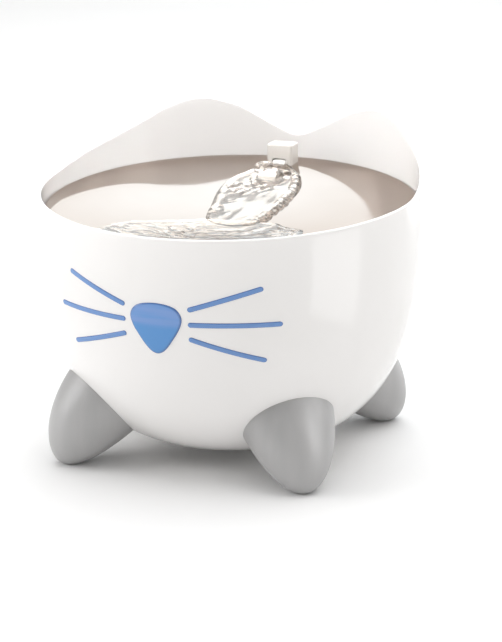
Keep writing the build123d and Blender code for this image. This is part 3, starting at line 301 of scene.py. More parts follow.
def round_bar(radius, start, end, material, sides=64):
    """Closed cylinder between two points, used as a cutter."""
    start, end = Vector(start), Vector(end)
    turn = (end - start).to_track_quat("Z", "Y")
    circle = [turn @ Vector((radius * math.cos(a), radius * math.sin(a), 0)) for a in around(sides)]
    return piece_from("cutter", *skin([[start + p for p in circle], [end + p for p in circle]]), material)


def spline_through(knots):
    """Natural cubic curve through (x, y) knots, as a function of x."""
    x, y = np.array(knots, float).T
    h = np.diff(x)
    size = len(x)
    system, load = np.eye(size), np.zeros(size)
    for i in range(1, size - 1):
        system[i, i - 1:i + 2] = h[i - 1], 2 * (h[i - 1] + h[i]), h[i]
        load[i] = 6 * ((y[i + 1] - y[i]) / h[i] - (y[i] - y[i - 1]) / h[i - 1])
    bend = np.linalg.solve(system, load)

    def curve(at):
        i = int(np.clip(np.searchsorted(x, at) - 1, 0, size - 2))
        a, b = (x[i + 1] - at) / h[i], (at - x[i]) / h[i]
        sag = ((a**3 - a) * bend[i] + (b**3 - b) * bend[i + 1]) * h[i] ** 2 / 6
        return float(a * y[i] + b * y[i + 1] + sag)

    return curve


def closed_curve(points, count):
    """Evenly counted points on a smooth loop through the given ones."""
    size = len(points)
    loop = []
    for k in range(count):
        at = k * size / count
        i, t = int(at), at - int(at)
        p0, p1, p2, p3 = (Vector(points[(i + j) % size]) for j in (-1, 0, 1, 2))
        loop.append(
            0.5 * (2 * p1 + (p2 - p0) * t + (2 * p0 - 5 * p1 + 4 * p2 - p3) * t**2
                   + (3 * p1 - p0 - 3 * p2 + p3) * t**3)
        )
    return loop


def bare_points(name, points):
    """Object that is only points, for copies of a shape to stand on."""
    mesh = bpy.data.meshes.new(name)
    mesh.from_pydata([Vector(p) * MM for p in points], [], [])
    return put_in_scene(name, mesh)


def start_tree(name, size_name, size_kind):
    """Geometry tree that takes points, a size and a finish, and the sockets that hand them over."""
    tree = bpy.data.node_groups.new(name, "GeometryNodeTree")
    sockets = (
        ("Geometry", "INPUT", "Geometry"), (size_name, "INPUT", size_kind), ("Finish", "INPUT", "Material"),
        ("Geometry", "OUTPUT", "Geometry"),
    )
    for label, way, kind in sockets:
        tree.interface.new_socket(label, in_out=way, socket_type="NodeSocket" + kind)
    return tree, add_node(tree, "NodeGroupInput").outputs


def stand_copies(piece, tree, given, placing, values):
    """Ends the tree with a copy of its shape on every point, in its finish, and hangs it on the piece."""
    placed = add_node(
        tree, "GeometryNodeInstanceOnPoints", inputs={"Points": given["Geometry"], **placing}
    )
    real = add_node(tree, "GeometryNodeRealizeInstances", inputs={"Geometry": placed.outputs["Instances"]})
    coated = add_node(
        tree, "GeometryNodeSetMaterial",
        inputs={"Geometry": real.outputs["Geometry"], "Material": given["Finish"]},
    )
    add_node(tree, "NodeGroupOutput", inputs={"Geometry": coated.outputs["Geometry"]})
    copies = piece.modifiers.new("copies", "NODES")
    copies.node_group = tree
    for socket in tree.interface.items_tree:
        if socket.name in values:
            copies[socket.identifier] = values[socket.name]


def dress(piece, body, slot, *nodes):
    """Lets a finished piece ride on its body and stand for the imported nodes."""
    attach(piece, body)
    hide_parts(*nodes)


# ======== finishes
def start_material(name):
    """A material with its shader, its tree, and the object coordinates that its patterns follow."""
    material = bpy.data.materials.new(name)
    material.use_nodes = True
    tree = material.node_tree
    tree.nodes.clear()
    shader = add_node(tree, "ShaderNodeBsdfPrincipled")
    add_node(tree, "ShaderNodeOutputMaterial", inputs={"Surface": shader.outputs["BSDF"]})
    place = add_node(tree, "ShaderNodeTexCoord").outputs["Object"]
    return material, tree, place


def painted_edge_shade(tree, colour, start, edge_colour):
    """Lets a colour turn darker along a piece's outline: painted shade where the rounded blue plastic turns
    away.
    """
    nearness = add_node(tree, "ShaderNodeAttribute", {"attribute_name": "edge"})
    shade = add_node(
        tree, "ShaderNodeMapRange", {"interpolation_type": "SMOOTHSTEP"},
        {"Value": nearness.outputs["Fac"], "From Min": start, "From Max": 1.0},
    )
    mixed = add_node(
        tree, "ShaderNodeMix", {"data_type": "RGBA"},
        {"Factor": shade.outputs["Result"], "A": colour, "B": linear(edge_colour)},
    )
    return mixed.outputs["Result"]


def finished(material, constants, colour=(), edge=(), gloss=(), relief=()):
    """The material with the shader's constants set, and with patterns that show in it.

    colour: a pattern and the two tones it runs between. edge: where the painted shade along the outline
    starts, and its tone.
    gloss: a pattern and the two roughnesses it runs between. relief: a pattern, its strength, its depth.
    """
    tree = material.node_tree
    shader = tree.nodes["Principled BSDF"]
    for key, value in dict(constants).items():
        shader.inputs[key].default_value = value
    shown = {}
    if colour:
        pattern, low, high = colour
        tones = add_node(
            tree, "ShaderNodeMix", {"data_type": "RGBA"},
            {"Factor": pattern, "A": linear(low), "B": linear(high)},
        )
        tone = tones.outputs["Result"]
        shown["Base Color"] = painted_edge_shade(tree, tone, *edge) if edge else tone
    if gloss:
        pattern, smooth, dull = gloss
        ranged = add_node(
            tree, "ShaderNodeMapRange", inputs={"Value": pattern, "To Min": smooth, "To Max": dull}
        )
        shown["Roughness"] = ranged.outputs["Result"]
    if relief:
        pattern, strength, depth = relief
        raised = add_node(
            tree, "ShaderNodeBump", inputs={"Height": pattern, "Strength": strength, "Distance": depth * MM}
        )
        shown["Normal"] = raised.outputs["Normal"]
    for key, source in shown.items():
        tree.links.new(source, shader.inputs[key])
    return material


def moulded(name, light, dark, rough, patch_mm, grain_mm, depth_mm, constants=()):
    """A moulded surface: patches of flow shading in the colour and gloss, and a fine grain as relief."""
    material, tree, place = start_material(name)
    flow = add_node(tree, "ShaderNodeTexNoise", inputs=sized(place, patch_mm, Detail=3.0)).outputs["Fac"]
    grain = add_node(tree, "ShaderNodeTexNoise", inputs=sized(place, grain_mm, Detail=4.0, Roughness=0.55))
    return finished(
        material, constants, colour=(flow, dark, light), gloss=(flow, *rough),
        relief=(grain.outputs["Fac"], 0.6, depth_mm),
    )


def white_abs():
    """Injection-moulded white ABS from a polished tool: warm white, a slow ripple in its reflections."""
    return moulded("moulded_white_abs", "F7F5F4", "F3F1EF", (0.10, 0.15), 60.0, 9.0, 0.012, {"IOR": 1.54})


def spout_abs():
    """The same ABS moulded in a plainer tool, so a little duller, and coloured a shade darker than the
    bowl's white: painted shade.
    """
    return moulded("spout_abs_with_painted_shade", "E9E5E0", "E4DFD9", (0.20, 0.28), 12.0, 1.5, 0.01, {"IOR": 1.54})


def blue_lens():
    """Translucent blue polycarbonate: glossy, with a painted highlight that colours its upper part lighter
    in soft horizontal bands, and painted shade along its outline.
    """
    material, tree, place = start_material("blue_polycarbonate_painted_highlight_and_edge_shade")
    height = add_node(tree, "ShaderNodeSeparateXYZ", inputs={"Vector": place}).outputs["Z"]
    # painted highlight: the colour turns lighter above these heights, in soft horizontal bands of noise
    painted_highlight_rise = add_node(
        tree, "ShaderNodeMapRange", {"interpolation_type": "SMOOTHSTEP"},
        {"Value": height, "From Min": PAINTED_HIGHLIGHT_FROM * MM, "From Max": PAINTED_HIGHLIGHT_FULL * MM},
    )
    level = add_node(tree, "ShaderNodeMapping", inputs={"Vector": place, "Scale": (0.2, 0.2, 1.6)})
    painted_highlight_bands = add_node(tree, "ShaderNodeTexNoise", inputs=sized(level.outputs["Vector"], 7.0))
    soft = add_node(
        tree, "ShaderNodeMath", {"operation": "MULTIPLY"},
        {0: painted_highlight_rise.outputs["Result"], 1: painted_highlight_bands.outputs["Fac"]},
    )
    return finished(
        material, {"Roughness": 0.12, "IOR": 1.58, "Coat Weight": 0.3, "Coat Roughness": 0.05},
        # painted shade: the nose's outline is coloured a darker blue, 4468A2
        colour=(soft.outputs["Value"], "4B8ECF", "859ED6"), edge=(0.9, "4468A2"),
    )


def blue_inlay():
    """Blue ABS strokes pressed into the face: glossy, faint flow shading, with painted shade where they
    round off.
    """
    material, tree, place = start_material("blue_abs_with_painted_edge_shade")
    flow = add_node(tree, "ShaderNodeTexNoise", inputs=sized(place, 14.0, Detail=3.0))
    grain = add_node(tree, "ShaderNodeTexNoise", inputs=sized(place, 1.2, Detail=4.0))
    return finished(
        material, {"Roughness": 0.2, "IOR": 1.54}, colour=(flow.outputs["Fac"], "6890CB", "7299D0"),
        # painted shade: the strokes' outline is coloured a darker blue, 5272AE
        edge=(0.6, "5272AE"), relief=(grain.outputs["Fac"], 0.6, 0.008),
    )


def foot_silver():
    """ABS with a sprayed silver satin lacquer: mid grey, fine flakes, and faint upright streaks of painted
    reflection in its colour.
    """
    material, tree, place = start_material("silver_lacquer_with_painted_reflection_streaks")
    flakes = add_node(tree, "ShaderNodeTexVoronoi", inputs=sized(place, 0.35)).outputs["Distance"]
    # painted reflection: upright streaks drawn into the colour stand for reflections of tall lights
    drawn = add_node(tree, "ShaderNodeMapping", inputs={"Vector": place, "Scale": (1.0, 1.0, 0.08)})
    streaks = add_node(tree, "ShaderNodeTexNoise", inputs=sized(drawn.outputs["Vector"], 9.0))
    both = add_node(
        tree, "ShaderNodeMath", {"operation": "MULTIPLY_ADD"},
        {0: flakes, 1: 0.35, 2: streaks.outputs["Fac"]},
    )
    return finished(
        material, {"Metallic": 0.12, "IOR": 1.38}, colour=(both.outputs["Value"], "ACACAC", "B9B8B8"),
        gloss=(flakes, 0.34, 0.44), relief=(flakes, 0.25, 0.01),
    )


def dish_steel():
    """Stamped and polished stainless steel: mirror-like, with faint buffing rings round the basin's axis."""
    material, tree, place = start_material("polished_stainless_steel")
    centred = add_node(
        tree, "ShaderNodeMapping", inputs={"Vector": place, "Location": (0.0, -DISH_AXIS.y * MM, 0.0)}
    )
    parts = add_node(tree, "ShaderNodeSeparateXYZ", inputs={"Vector": centred.outputs["Vector"]})
    flat = add_node(tree, "ShaderNodeCombineXYZ", inputs={"X": parts.outputs["X"], "Y": parts.outputs["Y"]})
    radius = add_node(tree, "ShaderNodeVectorMath", {"operation": "LENGTH"}, {0: flat.outputs["Vector"]})
    rings = add_node(
        tree, "ShaderNodeTexNoise", {"noise_dimensions": "1D"},
        {"W": radius.outputs["Value"], "Scale": per_metre(0.8), "Detail": 4.0, "Roughness": 0.6},
    ).outputs["Fac"]
    haze = add_node(tree, "ShaderNodeTexNoise", inputs=sized(place, 40.0)).outputs["Fac"]
    wear = add_node(tree, "ShaderNodeMath", {"operation": "MULTIPLY"}, {0: rings, 1: haze})
    return finished(
        material, {"Metallic": 1.0, "Specular Tint": linear("C9BFB8")}, colour=(haze, "C8C0BA", "D0C9C4"),
        gloss=(wear.outputs["Value"], 0.05, 0.12), relief=(rings, 0.08, 0.002),
    )


def clear_water():
    """Clean water: next to no colour of its own, seen by its refraction and its bright rims."""
    material, tree, place = start_material("clear_water")
    ripple = add_node(tree, "ShaderNodeTexNoise", inputs=sized(place, 6.0))
    constants = {
        "Base Color": linear("F9F4ED"), "Transmission Weight": 1.0, "IOR": 1.333, "Roughness": 0.0,
        "Alpha": 0.8,
    }
    return finished(material, constants, relief=(ripple.outputs["Fac"], 0.2, 0.1))


def aerated_water():
    """Water full of fine bubbles as it leaves the pump's spout: milky white and glossy."""
    return moulded("aerated_water", "F6F4F2", "EAE7E3", (0.10, 0.30), 3.0, 1.2, 0.1, {"IOR": 1.333})


def clear_silicone():
    """Moulded translucent silicone: milky, soft-looking, slightly tacky gloss."""
    return moulded("moulded_clear_silicone", "E9ECEB", "DADEDD", (0.30, 0.42), 10.0, 1.0, 0.02,
                   {"IOR": 1.41, "Transmission Weight": 0.35, "Subsurface Weight": 0.2})


def banded(name, way, pitch_mm, wander, tones, relief, constants):
    """Metal in even turns or sheets along one axis: their bands show in the colour and as relief."""
    material, tree, place = start_material(name)
    bands = add_node(
        tree, "ShaderNodeTexWave", {"wave_type": "BANDS", "bands_direction": way},
        {"Vector": place, "Scale": per_metre(pitch_mm) / math.tau, "Distortion": wander},
    ).outputs["Fac"]
    return finished(material, constants, colour=(bands, *tones), relief=(bands, *relief))


def winding_copper():
    """Enamelled copper wire wound in even turns: reddish, with a glossy varnish over each turn."""
    return banded("enamelled_copper_wire", "X", 0.6, 0.3, ("7A3A1C", "C9794A"), (0.8, 0.2),
                  {"Metallic": 0.9, "Roughness": 0.3, "Coat Weight": 0.6, "Coat Roughness": 0.1})


def core_steel():
    """Stacked electrical steel sheets: dull grey, with the edges of the sheets showing as fine lines."""
    return banded("laminated_core_steel", "Y", 0.5, 0.0, ("55575A", "8B8E92"), (0.5, 0.1),
                  {"Metallic": 0.9, "Roughness": 0.5})


def open_foam():
    """Reticulated polyurethane foam: dark, matt and full of open cells about 1.5 mm across."""
    material, tree, place = start_material("reticulated_foam")
    cells = add_node(tree, "ShaderNodeTexVoronoi", inputs=sized(place, 1.5)).outputs["Distance"]
    return finished(
        material, {"Roughness": 0.95}, colour=(cells, "1E2123", "4B5054"), relief=(cells, 1.0, 0.8)
    )


def carbon_felt():
    """White polyester felt filled with carbon grains: fibrous, speckled with black."""
    material, tree, place = start_material("carbon_filled_felt")
    grains = add_node(tree, "ShaderNodeTexVoronoi", inputs=sized(place, 1.1))
    speck = add_node(
        tree, "ShaderNodeMapRange",
        inputs={"Value": grains.outputs["Distance"], "From Min": 0.25, "From Max": 0.45},
    )
    fibres = add_node(tree, "ShaderNodeTexNoise", inputs=sized(place, 0.6, Detail=5.0))
    return finished(
        material, {"Roughness": 0.9}, colour=(speck.outputs["Result"], "1A1A1A", "D9D8D3"),
        relief=(fibres.outputs["Fac"], 0.9, 0.4),
    )


# ======== bowl
def belly_r(z, grow=0.0):
    """Radius of the bowl's outside at a height, moved outward by grow."""
    if z >= BELLY_TOP:
        return BOWL_R + grow
    t = (BELLY_TOP - z) / (BELLY_TOP - BELLY_BOTTOM + grow)
    return (BOWL_R + grow) * max(1 - t**BELLY_P, 0.0) ** (1 / BELLY_Q)


def edge_height(degrees):
    """Height of the bowl's top edge at an angle from the centre of the back."""
    angles, heights = zip(*TOP_EDGE)
    rises = [(heights[i + 1] - heights[i]) / (angles[i + 1] - angles[i]) for i in range(len(angles) - 1)]
    slopes = [0.0] + [
        0.0 if a * b <= 0 else 2 * a * b / (a + b) for a, b in zip(rises, rises[1:])
    ] + [0.0]
    at = min(abs(degrees), 180.0)
    i = next(k for k in range(len(rises)) if at <= angles[k + 1])
    step = angles[i + 1] - angles[i]
    u = (at - angles[i]) / step
    low = heights[i] * (1 + 2 * u) * (1 - u) ** 2 + slopes[i] * step * u * (1 - u) ** 2
    high = heights[i + 1] * (3 - 2 * u) * u**2 - slopes[i + 1] * step * (1 - u) * u**2
    return low + high


def make_bowl(material):
    """Turned belly and upright wall with the wavy, rounded edge, hollow down to its flat floor."""
    sides, blend_z, hub = 288, 118.0, 20.0
    angles = [360.0 * i / sides - 180 for i in range(sides)]
    tops = [edge_height(a) for a in angles]
    floor_z = BASE_Z + WALL

    def ring(station):
        return [
            (r * math.sin(math.radians(a)), r * math.cos(math.radians(a)), z)
            for a, (r, z) in zip(angles, (station(top) for top in tops))
        ]

    def level(radius, z):
        return lambda top: (radius, z)

    def rising(share, grow):
        """Station on the upper wall, a share of the way from blend_z to the start of the lip."""
        def station(top):
            z = blend_z + share * (top - LIP_ROUND - blend_z)
            return belly_r(z, grow), z
        return station

    def lip(turn, grow, side):
        """Station on the rounded edge, a turn past upright; side is 1 outside and -1 inside."""
        centre = BOWL_R + grow - side * LIP_ROUND
        return lambda top: (
            centre + side * LIP_ROUND * math.cos(turn), top - LIP_ROUND + LIP_ROUND * math.sin(turn)
        )

    belly, wall, turns = 44, 22, 6
    climb = [(i / belly) ** 1.9 for i in range(belly)]  # closer together where the belly curves
    low_steps = [BASE_Z + (blend_z - BASE_Z) * share for share in climb]
    in_steps = [floor_z + (blend_z - floor_z) * share for share in climb]
    quarter = [math.pi / 2 * i / turns for i in range(turns + 1)]
    stations = [level(hub, BASE_Z), level(belly_r(BASE_Z) - 1.0, BASE_Z)]
    stations += [level(belly_r(z), z) for z in low_steps]
    stations += [rising(i / wall, 0.0) for i in range(wall)]
    stations += [lip(turn, 0.0, 1) for turn in quarter]
    stations += [lip(turn, -WALL, -1) for turn in reversed(quarter)]
    stations += [rising(i / wall, -WALL) for i in reversed(range(wall))]
    stations += [level(belly_r(z, -WALL), z) for z in reversed(in_steps)]
    stations += [level(belly_r(floor_z, -WALL) - 1.0, floor_z), level(hub, floor_z)]
    bowl = piece_from("bowl_shell", *skin([ring(s) for s in stations]), material)
    inside, outside = (0, BOWL_R - 20, CABLE_Z), (0, BOWL_R + 10, CABLE_Z)
    cut(bowl, round_bar(CABLE_HOLE, inside, outside, material))
    dress(bowl, "reservoir", "white_abs", "bowl")


def make_ribs(material):
    """Six moulded ledges that carry the dish: one rib, placed round the wall by geometry nodes."""
    spots = []
    for degrees in RIB_ANGLES:
        a = math.radians(degrees)
        r = BOWL_R - WALL - RIB_SIZE[0] / 2 + RIB_SUNK
        x, y = r * math.sin(a), -r * math.cos(a)
        low = min(dish_z(x * share, y * share) for share in (0.96, 1.0))  # lowest over the rib
        spots.append((x, y, low - DISH_T - DISH_LIP - RIB_CLEAR - RIB_SIZE[2] / 2))
    piece = bare_points("dish_ribs", spots)

    tree, given = start_tree("ribs_round_the_wall", "Rib Size", "Vector")
    rib = add_node(
        tree, "GeometryNodeMeshCube",
        inputs={"Size": given["Rib Size"], "Vertices X": 2, "Vertices Y": 2, "Vertices Z": 2},
    )
    place = add_node(tree, "GeometryNodeInputPosition")
    outward = add_node(
        tree, "ShaderNodeVectorMath", {"operation": "MULTIPLY"}, {0: place.outputs[0], 1: (1.0, 1.0, 0.0)}
    )
    turn = add_node(
        tree, "FunctionNodeAlignRotationToVector", {"axis": "X", "pivot_axis": "Z"},
        {"Vector": outward.outputs["Vector"]},
    )
    stand_copies(
        piece, tree, given, {"Instance": rib.outputs["Mesh"], "Rotation": turn.outputs["Rotation"]},
        {"Rib Size": [c * MM for c in RIB_SIZE], "Finish": material},
    )
    soften_edges(piece, 0.5, 3)
    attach(piece, "reservoir")


# ======== face
def on_belly(x, z, proud):
    """Point of the bowl's front, a height above its surface."""
    r = belly_r(z, proud)
    return x, -math.sqrt(max(r * r - x * x, 0)), z


def inlay(name, spine, outline, crown, material):
    """A crowned inlay that follows the belly: its outline closes in on its spine, its back in the wall."""
    proud, edge = crown

    def ring(share, height):
        return [
            on_belly(s[0] + share * (o[0] - s[0]), s[1] + share * (o[1] - s[1]), height)
            for s, o in zip(spine, outline)
        ]

    steps, core = 8, 0.02
    quarter = [math.pi / 2 * i / steps for i in range(1, steps + 1)]
    levels = [(core + (1 - core) * (1 - edge) * i / steps, proud) for i in range(steps + 1)]
    levels += [(1 - edge + edge * math.sin(turn), proud * math.cos(turn)) for turn in quarter]
    levels += [(1.0, -INLAY_DEPTH), (core, -INLAY_DEPTH)]
    nearness = [share for share, height in levels for _ in outline] + [0.0, 0.0]
    return piece_from(name, *skin([ring(*level) for level in levels]), material, nearness)


def make_nose(material):
    """The window of the level light: a rounded triangle, nearly flat."""
    left = [(-x, z) for x, z in reversed(NOSE_HALF[1:-1])]
    outline = closed_curve(list(NOSE_HALF) + left, 144)
    nose = inlay("nose_window", [NOSE_CENTRE] * len(outline), outline, NOSE_CROWN, material)
    dress(nose, "reservoir", "blue_lens", "nose_lens")


def make_whiskers(material):
    """Three strokes on each side of the nose, round-ended and gently crowned."""
    rows = ("upper", "middle", "lower")
    bend, run = 16, 24  # steps round an end and along a side
    for side, word in ((1, "right"), (-1, "left")):
        for row, (x0, z0, x1, z1) in zip(rows, WHISKERS):
            start, end = Vector((side * x0, z0)), Vector((side * x1, z1))
            along = (end - start).normalized()
            across = Vector((-along.y, along.x))
            spine, outline = [], []
            for at, other, first, beside in ((end, start, -90, across), (start, end, 90, -across)):
                for i in range(bend + 1):
                    turn = math.radians(first + 180 * i / bend)
                    spine.append(at)
                    outline.append(at + (along * math.cos(turn) + across * math.sin(turn)) * WHISKER_W / 2)
                for i in range(1, run):
                    step = at.lerp(other, i / run)
                    spine.append(step)
                    outline.append(step + beside * WHISKER_W / 2)
            which = word + "_" + row
            stroke = inlay("whisker_inlay_" + which, spine, outline, WHISKER_CROWN, material)
            dress(stroke, "reservoir", "blue_inlay", "whisker_" + which)


# ======== feet
def make_foot(degrees, name, node, material):
    """Rounded foot that widens from its tip on the floor and ends where it meets the belly."""
    a = math.radians(degrees)
    radial = Vector((math.sin(a), -math.cos(a), 0))
    across = Vector((math.cos(a), math.sin(a), 0))
    along = Vector((0, 0, math.cos(FOOT_LEAN))) - radial * math.sin(FOOT_LEAN)
    outward = Vector((0, 0, math.sin(FOOT_LEAN))) + radial * math.cos(FOOT_LEAN)
    tip = radial * FOOT_R + Vector((0, 0, FOOT_TIP_Z))

    def surface(s, turn):
        width = (1 - (1 - s / FOOT_LENGTH) ** FOOT_N) ** (1 / FOOT_M)
        reach = s - FOOT_TIP_Z
        centre = tip + along * reach + outward * FOOT_CURVE * reach**2
        return centre + width * (across * FOOT_WIDE * math.cos(turn) + outward * FOOT_DEEP * math.sin(turn))

    def clear(s, turn):
        """Whether this point of the foot is still outside the belly, or lower than the bowl."""
        p = surface(s, turn)
        return p.z < BASE_Z or math.hypot(p.x, p.y) > belly_r(max(p.z, BASE_Z), FOOT_GAP)

    def meeting(turn):
        """How far up this line of the foot the belly begins."""
        low, high = 0.5, FOOT_LENGTH
        s = low
        while s < high and clear(s, turn):
            low, s = s, s + 1.0
        high = s
        for _ in range(20):
            s = (low + high) / 2
            if clear(s, turn):
                low = s
            else:
                high = s
        return low

    lines, steps = 120, 44
    turns = around(lines)
    ends = [meeting(turn) for turn in turns]
    rings = []
    for i in range(1, steps + 1):
        share = (i / steps) ** 1.6  # closer together toward the tip
        rings.append([surface(end * share, turn) for turn, end in zip(turns, ends)])
    for ring in rings:
        for p in ring:
            p.z = max(p.z, 0.0)
    rim = rings[-1]
    middle = sum(rim, Vector()) / lines
    for i in range(1, 6):
        seated = []
        for p in (corner.lerp(middle, i / 6) for corner in rim):
            reach = belly_r(max(p.z, BASE_Z + 1), FOOT_GAP) / max(math.hypot(p.x, p.y), 1e-6)
            seated.append(Vector((p.x * reach, p.y * reach, p.z)))
        rings.append(seated)
    foot = piece_from(name, *skin(rings), material)
    foot.data.set_sharp_from_angle(angle=SHARP)
    dress(foot, "reservoir", "foot_silver", node)


def make_feet(material):
    """Four feet, one toward each corner."""
    corners = ((45, "front_right"), (-45, "front_left"), (135, "rear_right"), (-135, "rear_left"))
    for degrees, word in corners:
        make_foot(degrees, "paw_" + word, "foot_" + word, material)


# ======== dish
DISH_STEP = 0.25
dish_slope = spline_through(DISH_SLOPES)
dish_reaches = np.arange(0, 140, DISH_STEP)
dish_rises = np.cumsum([dish_slope(r + DISH_STEP / 2) * DISH_STEP for r in dish_reaches])


def dish_z(x, y):
    """Height of the dish's upper face."""
    r = math.hypot(x, y - DISH_AXIS.y)
    rise = float(np.interp(r, dish_reaches + DISH_STEP, dish_rises))
    return DISH_AXIS.z + DISH_TILT * (y - DISH_AXIS.y) + rise


def make_dish(material):
    """Stamped steel dish: a basin off the bowl's axis, a turned-down edge and a straight spill edge."""
    lines, steps = 256, 100
    centre = Vector((DISH_AXIS.x, DISH_AXIS.y))
    bounds = []
    for a in around(lines):
        way = Vector((math.sin(a), -math.cos(a)))
        ahead = centre.dot(way)
        reach = -ahead + math.sqrt(ahead**2 - centre.dot(centre) + DISH_R**2)
        if way.y < 0:
            reach = min(reach, (SPILL_Y - centre.y) / way.y)
        bounds.append((way, reach))

    def ring(share, inset, drop):
        points = []
        for way, reach in bounds:
            p = centre + way * (reach * share - inset)
            points.append((p.x, p.y, dish_z(p.x, p.y) - drop))
        return points

    rings = [ring(i / steps, DISH_BEND * i / steps, 0.0) for i in range(1, steps + 1)]
    for turn in (i * math.pi / 12 for i in range(1, 7)):
        rings.append(ring(1.0, DISH_BEND * (1 - math.sin(turn)), DISH_BEND * (1 - math.cos(turn))))
    rings += [ring(1.0, 0.0, DISH_LIP), ring(1.0, DISH_T, DISH_LIP), ring(1.0, DISH_T, DISH_BEND + DISH_T)]
    rings += [ring(i / steps, DISH_BEND * i / steps + DISH_T, DISH_T) for i in range(steps, 4, -4)]
    dish = piece_from("steel_dish", *skin(rings), material)
    below, above = (0, SPOUT_Y, 120), (0, SPOUT_Y, 170)
    cut(dish, round_bar(STEM_HOLE, below, above, material))
    dress(dish, "dish", "steel", "drinking_dish")


# ======== water
stream_left = spline_through(STREAM_LEFT)
stream_right = spline_through(STREAM_RIGHT)


def lumps(x, y, wide, long, seed):
    """Smooth noise from about -1 to 1, in lumps of a width and a length in millimetres."""
    return noise.noise(Vector((x / wide, y / long, seed)))


def crests(x, y, size, seed):
    """Thin wandering crests on running water, from 0 to 1."""
    return max(1 - 4 * abs(lumps(x, y, size, size, seed)), 0.0) ** 2


def hump(offset, width):
    """Smooth hump: 1 where the offset is 0, fading over a width on both sides."""
    return math.exp(-((offset / width) ** 2))


def pool_depth(x, y, share):
    """Depth of the pool: level over the low steel, a thin film near the shore, rippled by what runs in."""
    room = POOL_LEVEL - dish_z(x, y)
    depth = 0.5 * (room + POOL_FILM + math.hypot(room - POOL_FILM, POOL_BLEND))
    away = math.hypot(x - POOL_ENTRY.x, y - POOL_ENTRY.y)
    height, length, reach = POOL_WAVE
    ripple = height * math.sin(math.tau * away / length) * math.exp(-away / reach)
    ripple += (
        0.5 * crests(x, y * 1.2, size=11.0, seed=1.0) - 0.2
        + 0.4 * lumps(x, y, wide=6.0, long=5.0, seed=1.0)
    )
    bead_height, bead_at, bead_width = POOL_BEAD
    bead = bead_height * hump(share - bead_at, bead_width)
    return max((depth + ripple + bead) * math.sqrt(1 - share**14), 0.0)


def make_pool(material):
    """The pool at the front of the dish, closed by an underside that is sunk into the steel."""
    lines, steps = 160, 40
    shore = closed_curve(POOL_SHORE, lines)
    centre = Vector(POOL_CENTRE)
    top, under = [], []
    for i in range(1, steps + 1):
        share = math.sin(math.pi / 2 * i / steps) ** 0.8
        above, below = [], []
        for p in shore:
            q = centre.lerp(p, share)
            y = max(q.y, SPILL_Y + POOL_INSET)
            z = dish_z(q.x, y)
            above.append((q.x, y, z + pool_depth(q.x, y, min(share, 1.0))))
            below.append((q.x, y, z - WATER_SEAT))
        top.append(above)
        under.append(below)
    pool = piece_from("pool_surface", *skin(top + under[::-1]), material)
    dress(pool, "dish", "water", "water_pool")


def stream_spot(y, u):
    """Point of the steel under the stream; u runs from -1 at its left edge to 1 at its right one."""
    x = (stream_left(y) + stream_right(y)) / 2 + u * (stream_right(y) - stream_left(y)) / 2
    return x, y, dish_z(x, y)


def stream_depth(x, y, u):
    """Depth of the running water: a choppy film with thick rims, and the dome and the bubble on it."""
    run = (STREAM_BACK - y) / (STREAM_BACK - STREAM_FRONT)
    swell = math.sin(math.pi * min(max(run, 0.0), 1.0)) ** 0.5
    thick = RIM_RIGHT + lumps(x, y, wide=5.0, long=5.0, seed=3.0) if u > 0 else RIM_LEFT
    rope = hump(abs(u) - RIM_AT, RIM_WIDE) * thick * swell
    calm = min(math.hypot(x - CALM.x, (y - CALM.y) / CALM_LONG) / CALM_R, 1.0)
    film = STREAM_FILM + 0.5 * lumps(x, y, wide=9.0, long=14.0, seed=7.0)
    film += 0.4 * crests(x, y * 0.6, size=12.0, seed=7.0) * calm**2
    for spot_x, spot_y, reach in CHOP:
        near = math.exp(-((x - spot_x) ** 2 + (y - spot_y) ** 2) / reach**2)
        film += near * (CHOP_RISE + CHOP_SWING * lumps(x, y, wide=3.5, long=5.0, seed=2.0))
    away = math.hypot(x - DOME.x, y - DOME.y)
    dome = DOME_RISE * math.sqrt(max(1 - (away / DOME_R) ** 2, 0.0))
    collar = COLLAR_RISE * hump(away - DOME_R - COLLAR_OUT, COLLAR_WIDE)
    aside = math.hypot(x - BUBBLE.x, y - BUBBLE.y)
    bubble = BUBBLE_R * math.sqrt(max(1 - (aside / BUBBLE_R) ** 2, 0.0))
    return max((film + rope) * (1 - u**12), 0.0) + max(dome, collar, bubble)


def stream_sheet(material):
    """The leaf-shaped film that runs forward, closed by an underside that is sunk into the steel."""
    rows, columns = 150, 60
    loops = []
    for i in range(rows + 1):
        row_y = STREAM_FRONT + (STREAM_BACK - STREAM_FRONT) * i / rows
        shares = [-1 + 2 * j / columns for j in range(columns + 1)]
        across = [(u, *stream_spot(row_y, u)) for u in shares]
        upper = [(x, y, z + stream_depth(x, y, u)) for u, x, y, z in across]
        lower = [(x, y, z - WATER_SEAT) for u, x, y, z in across]
        loops.append(upper + lower[::-1])
    return piece_from("stream_surface", *skin(loops), material)


def squarish(part):
    """A cosine or sine drawn out, so that a circle becomes a rounded square."""
    return math.copysign(abs(part) ** 0.6, part)


def make_jet(material):
    """The water that fills the spout's mouth, rounded off at its front end."""
    steps, sides = 12, 48
    rings = []
    for i in range(steps):
        t = i / steps
        y = JET_Y[0] + (JET_Y[1] - JET_Y[0]) * t
        end = math.sqrt(1 - t**6)
        ring = []
        for a in around(sides):
            x = JET_HALF.x * end * squarish(math.cos(a))
            ring.append((x, y, JET_Z - t**2 + JET_HALF.y * end * squarish(math.sin(a))))
        rings.append(ring)
    jet = piece_from("spout_jet", *skin(rings), material)
    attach(jet, "dish")


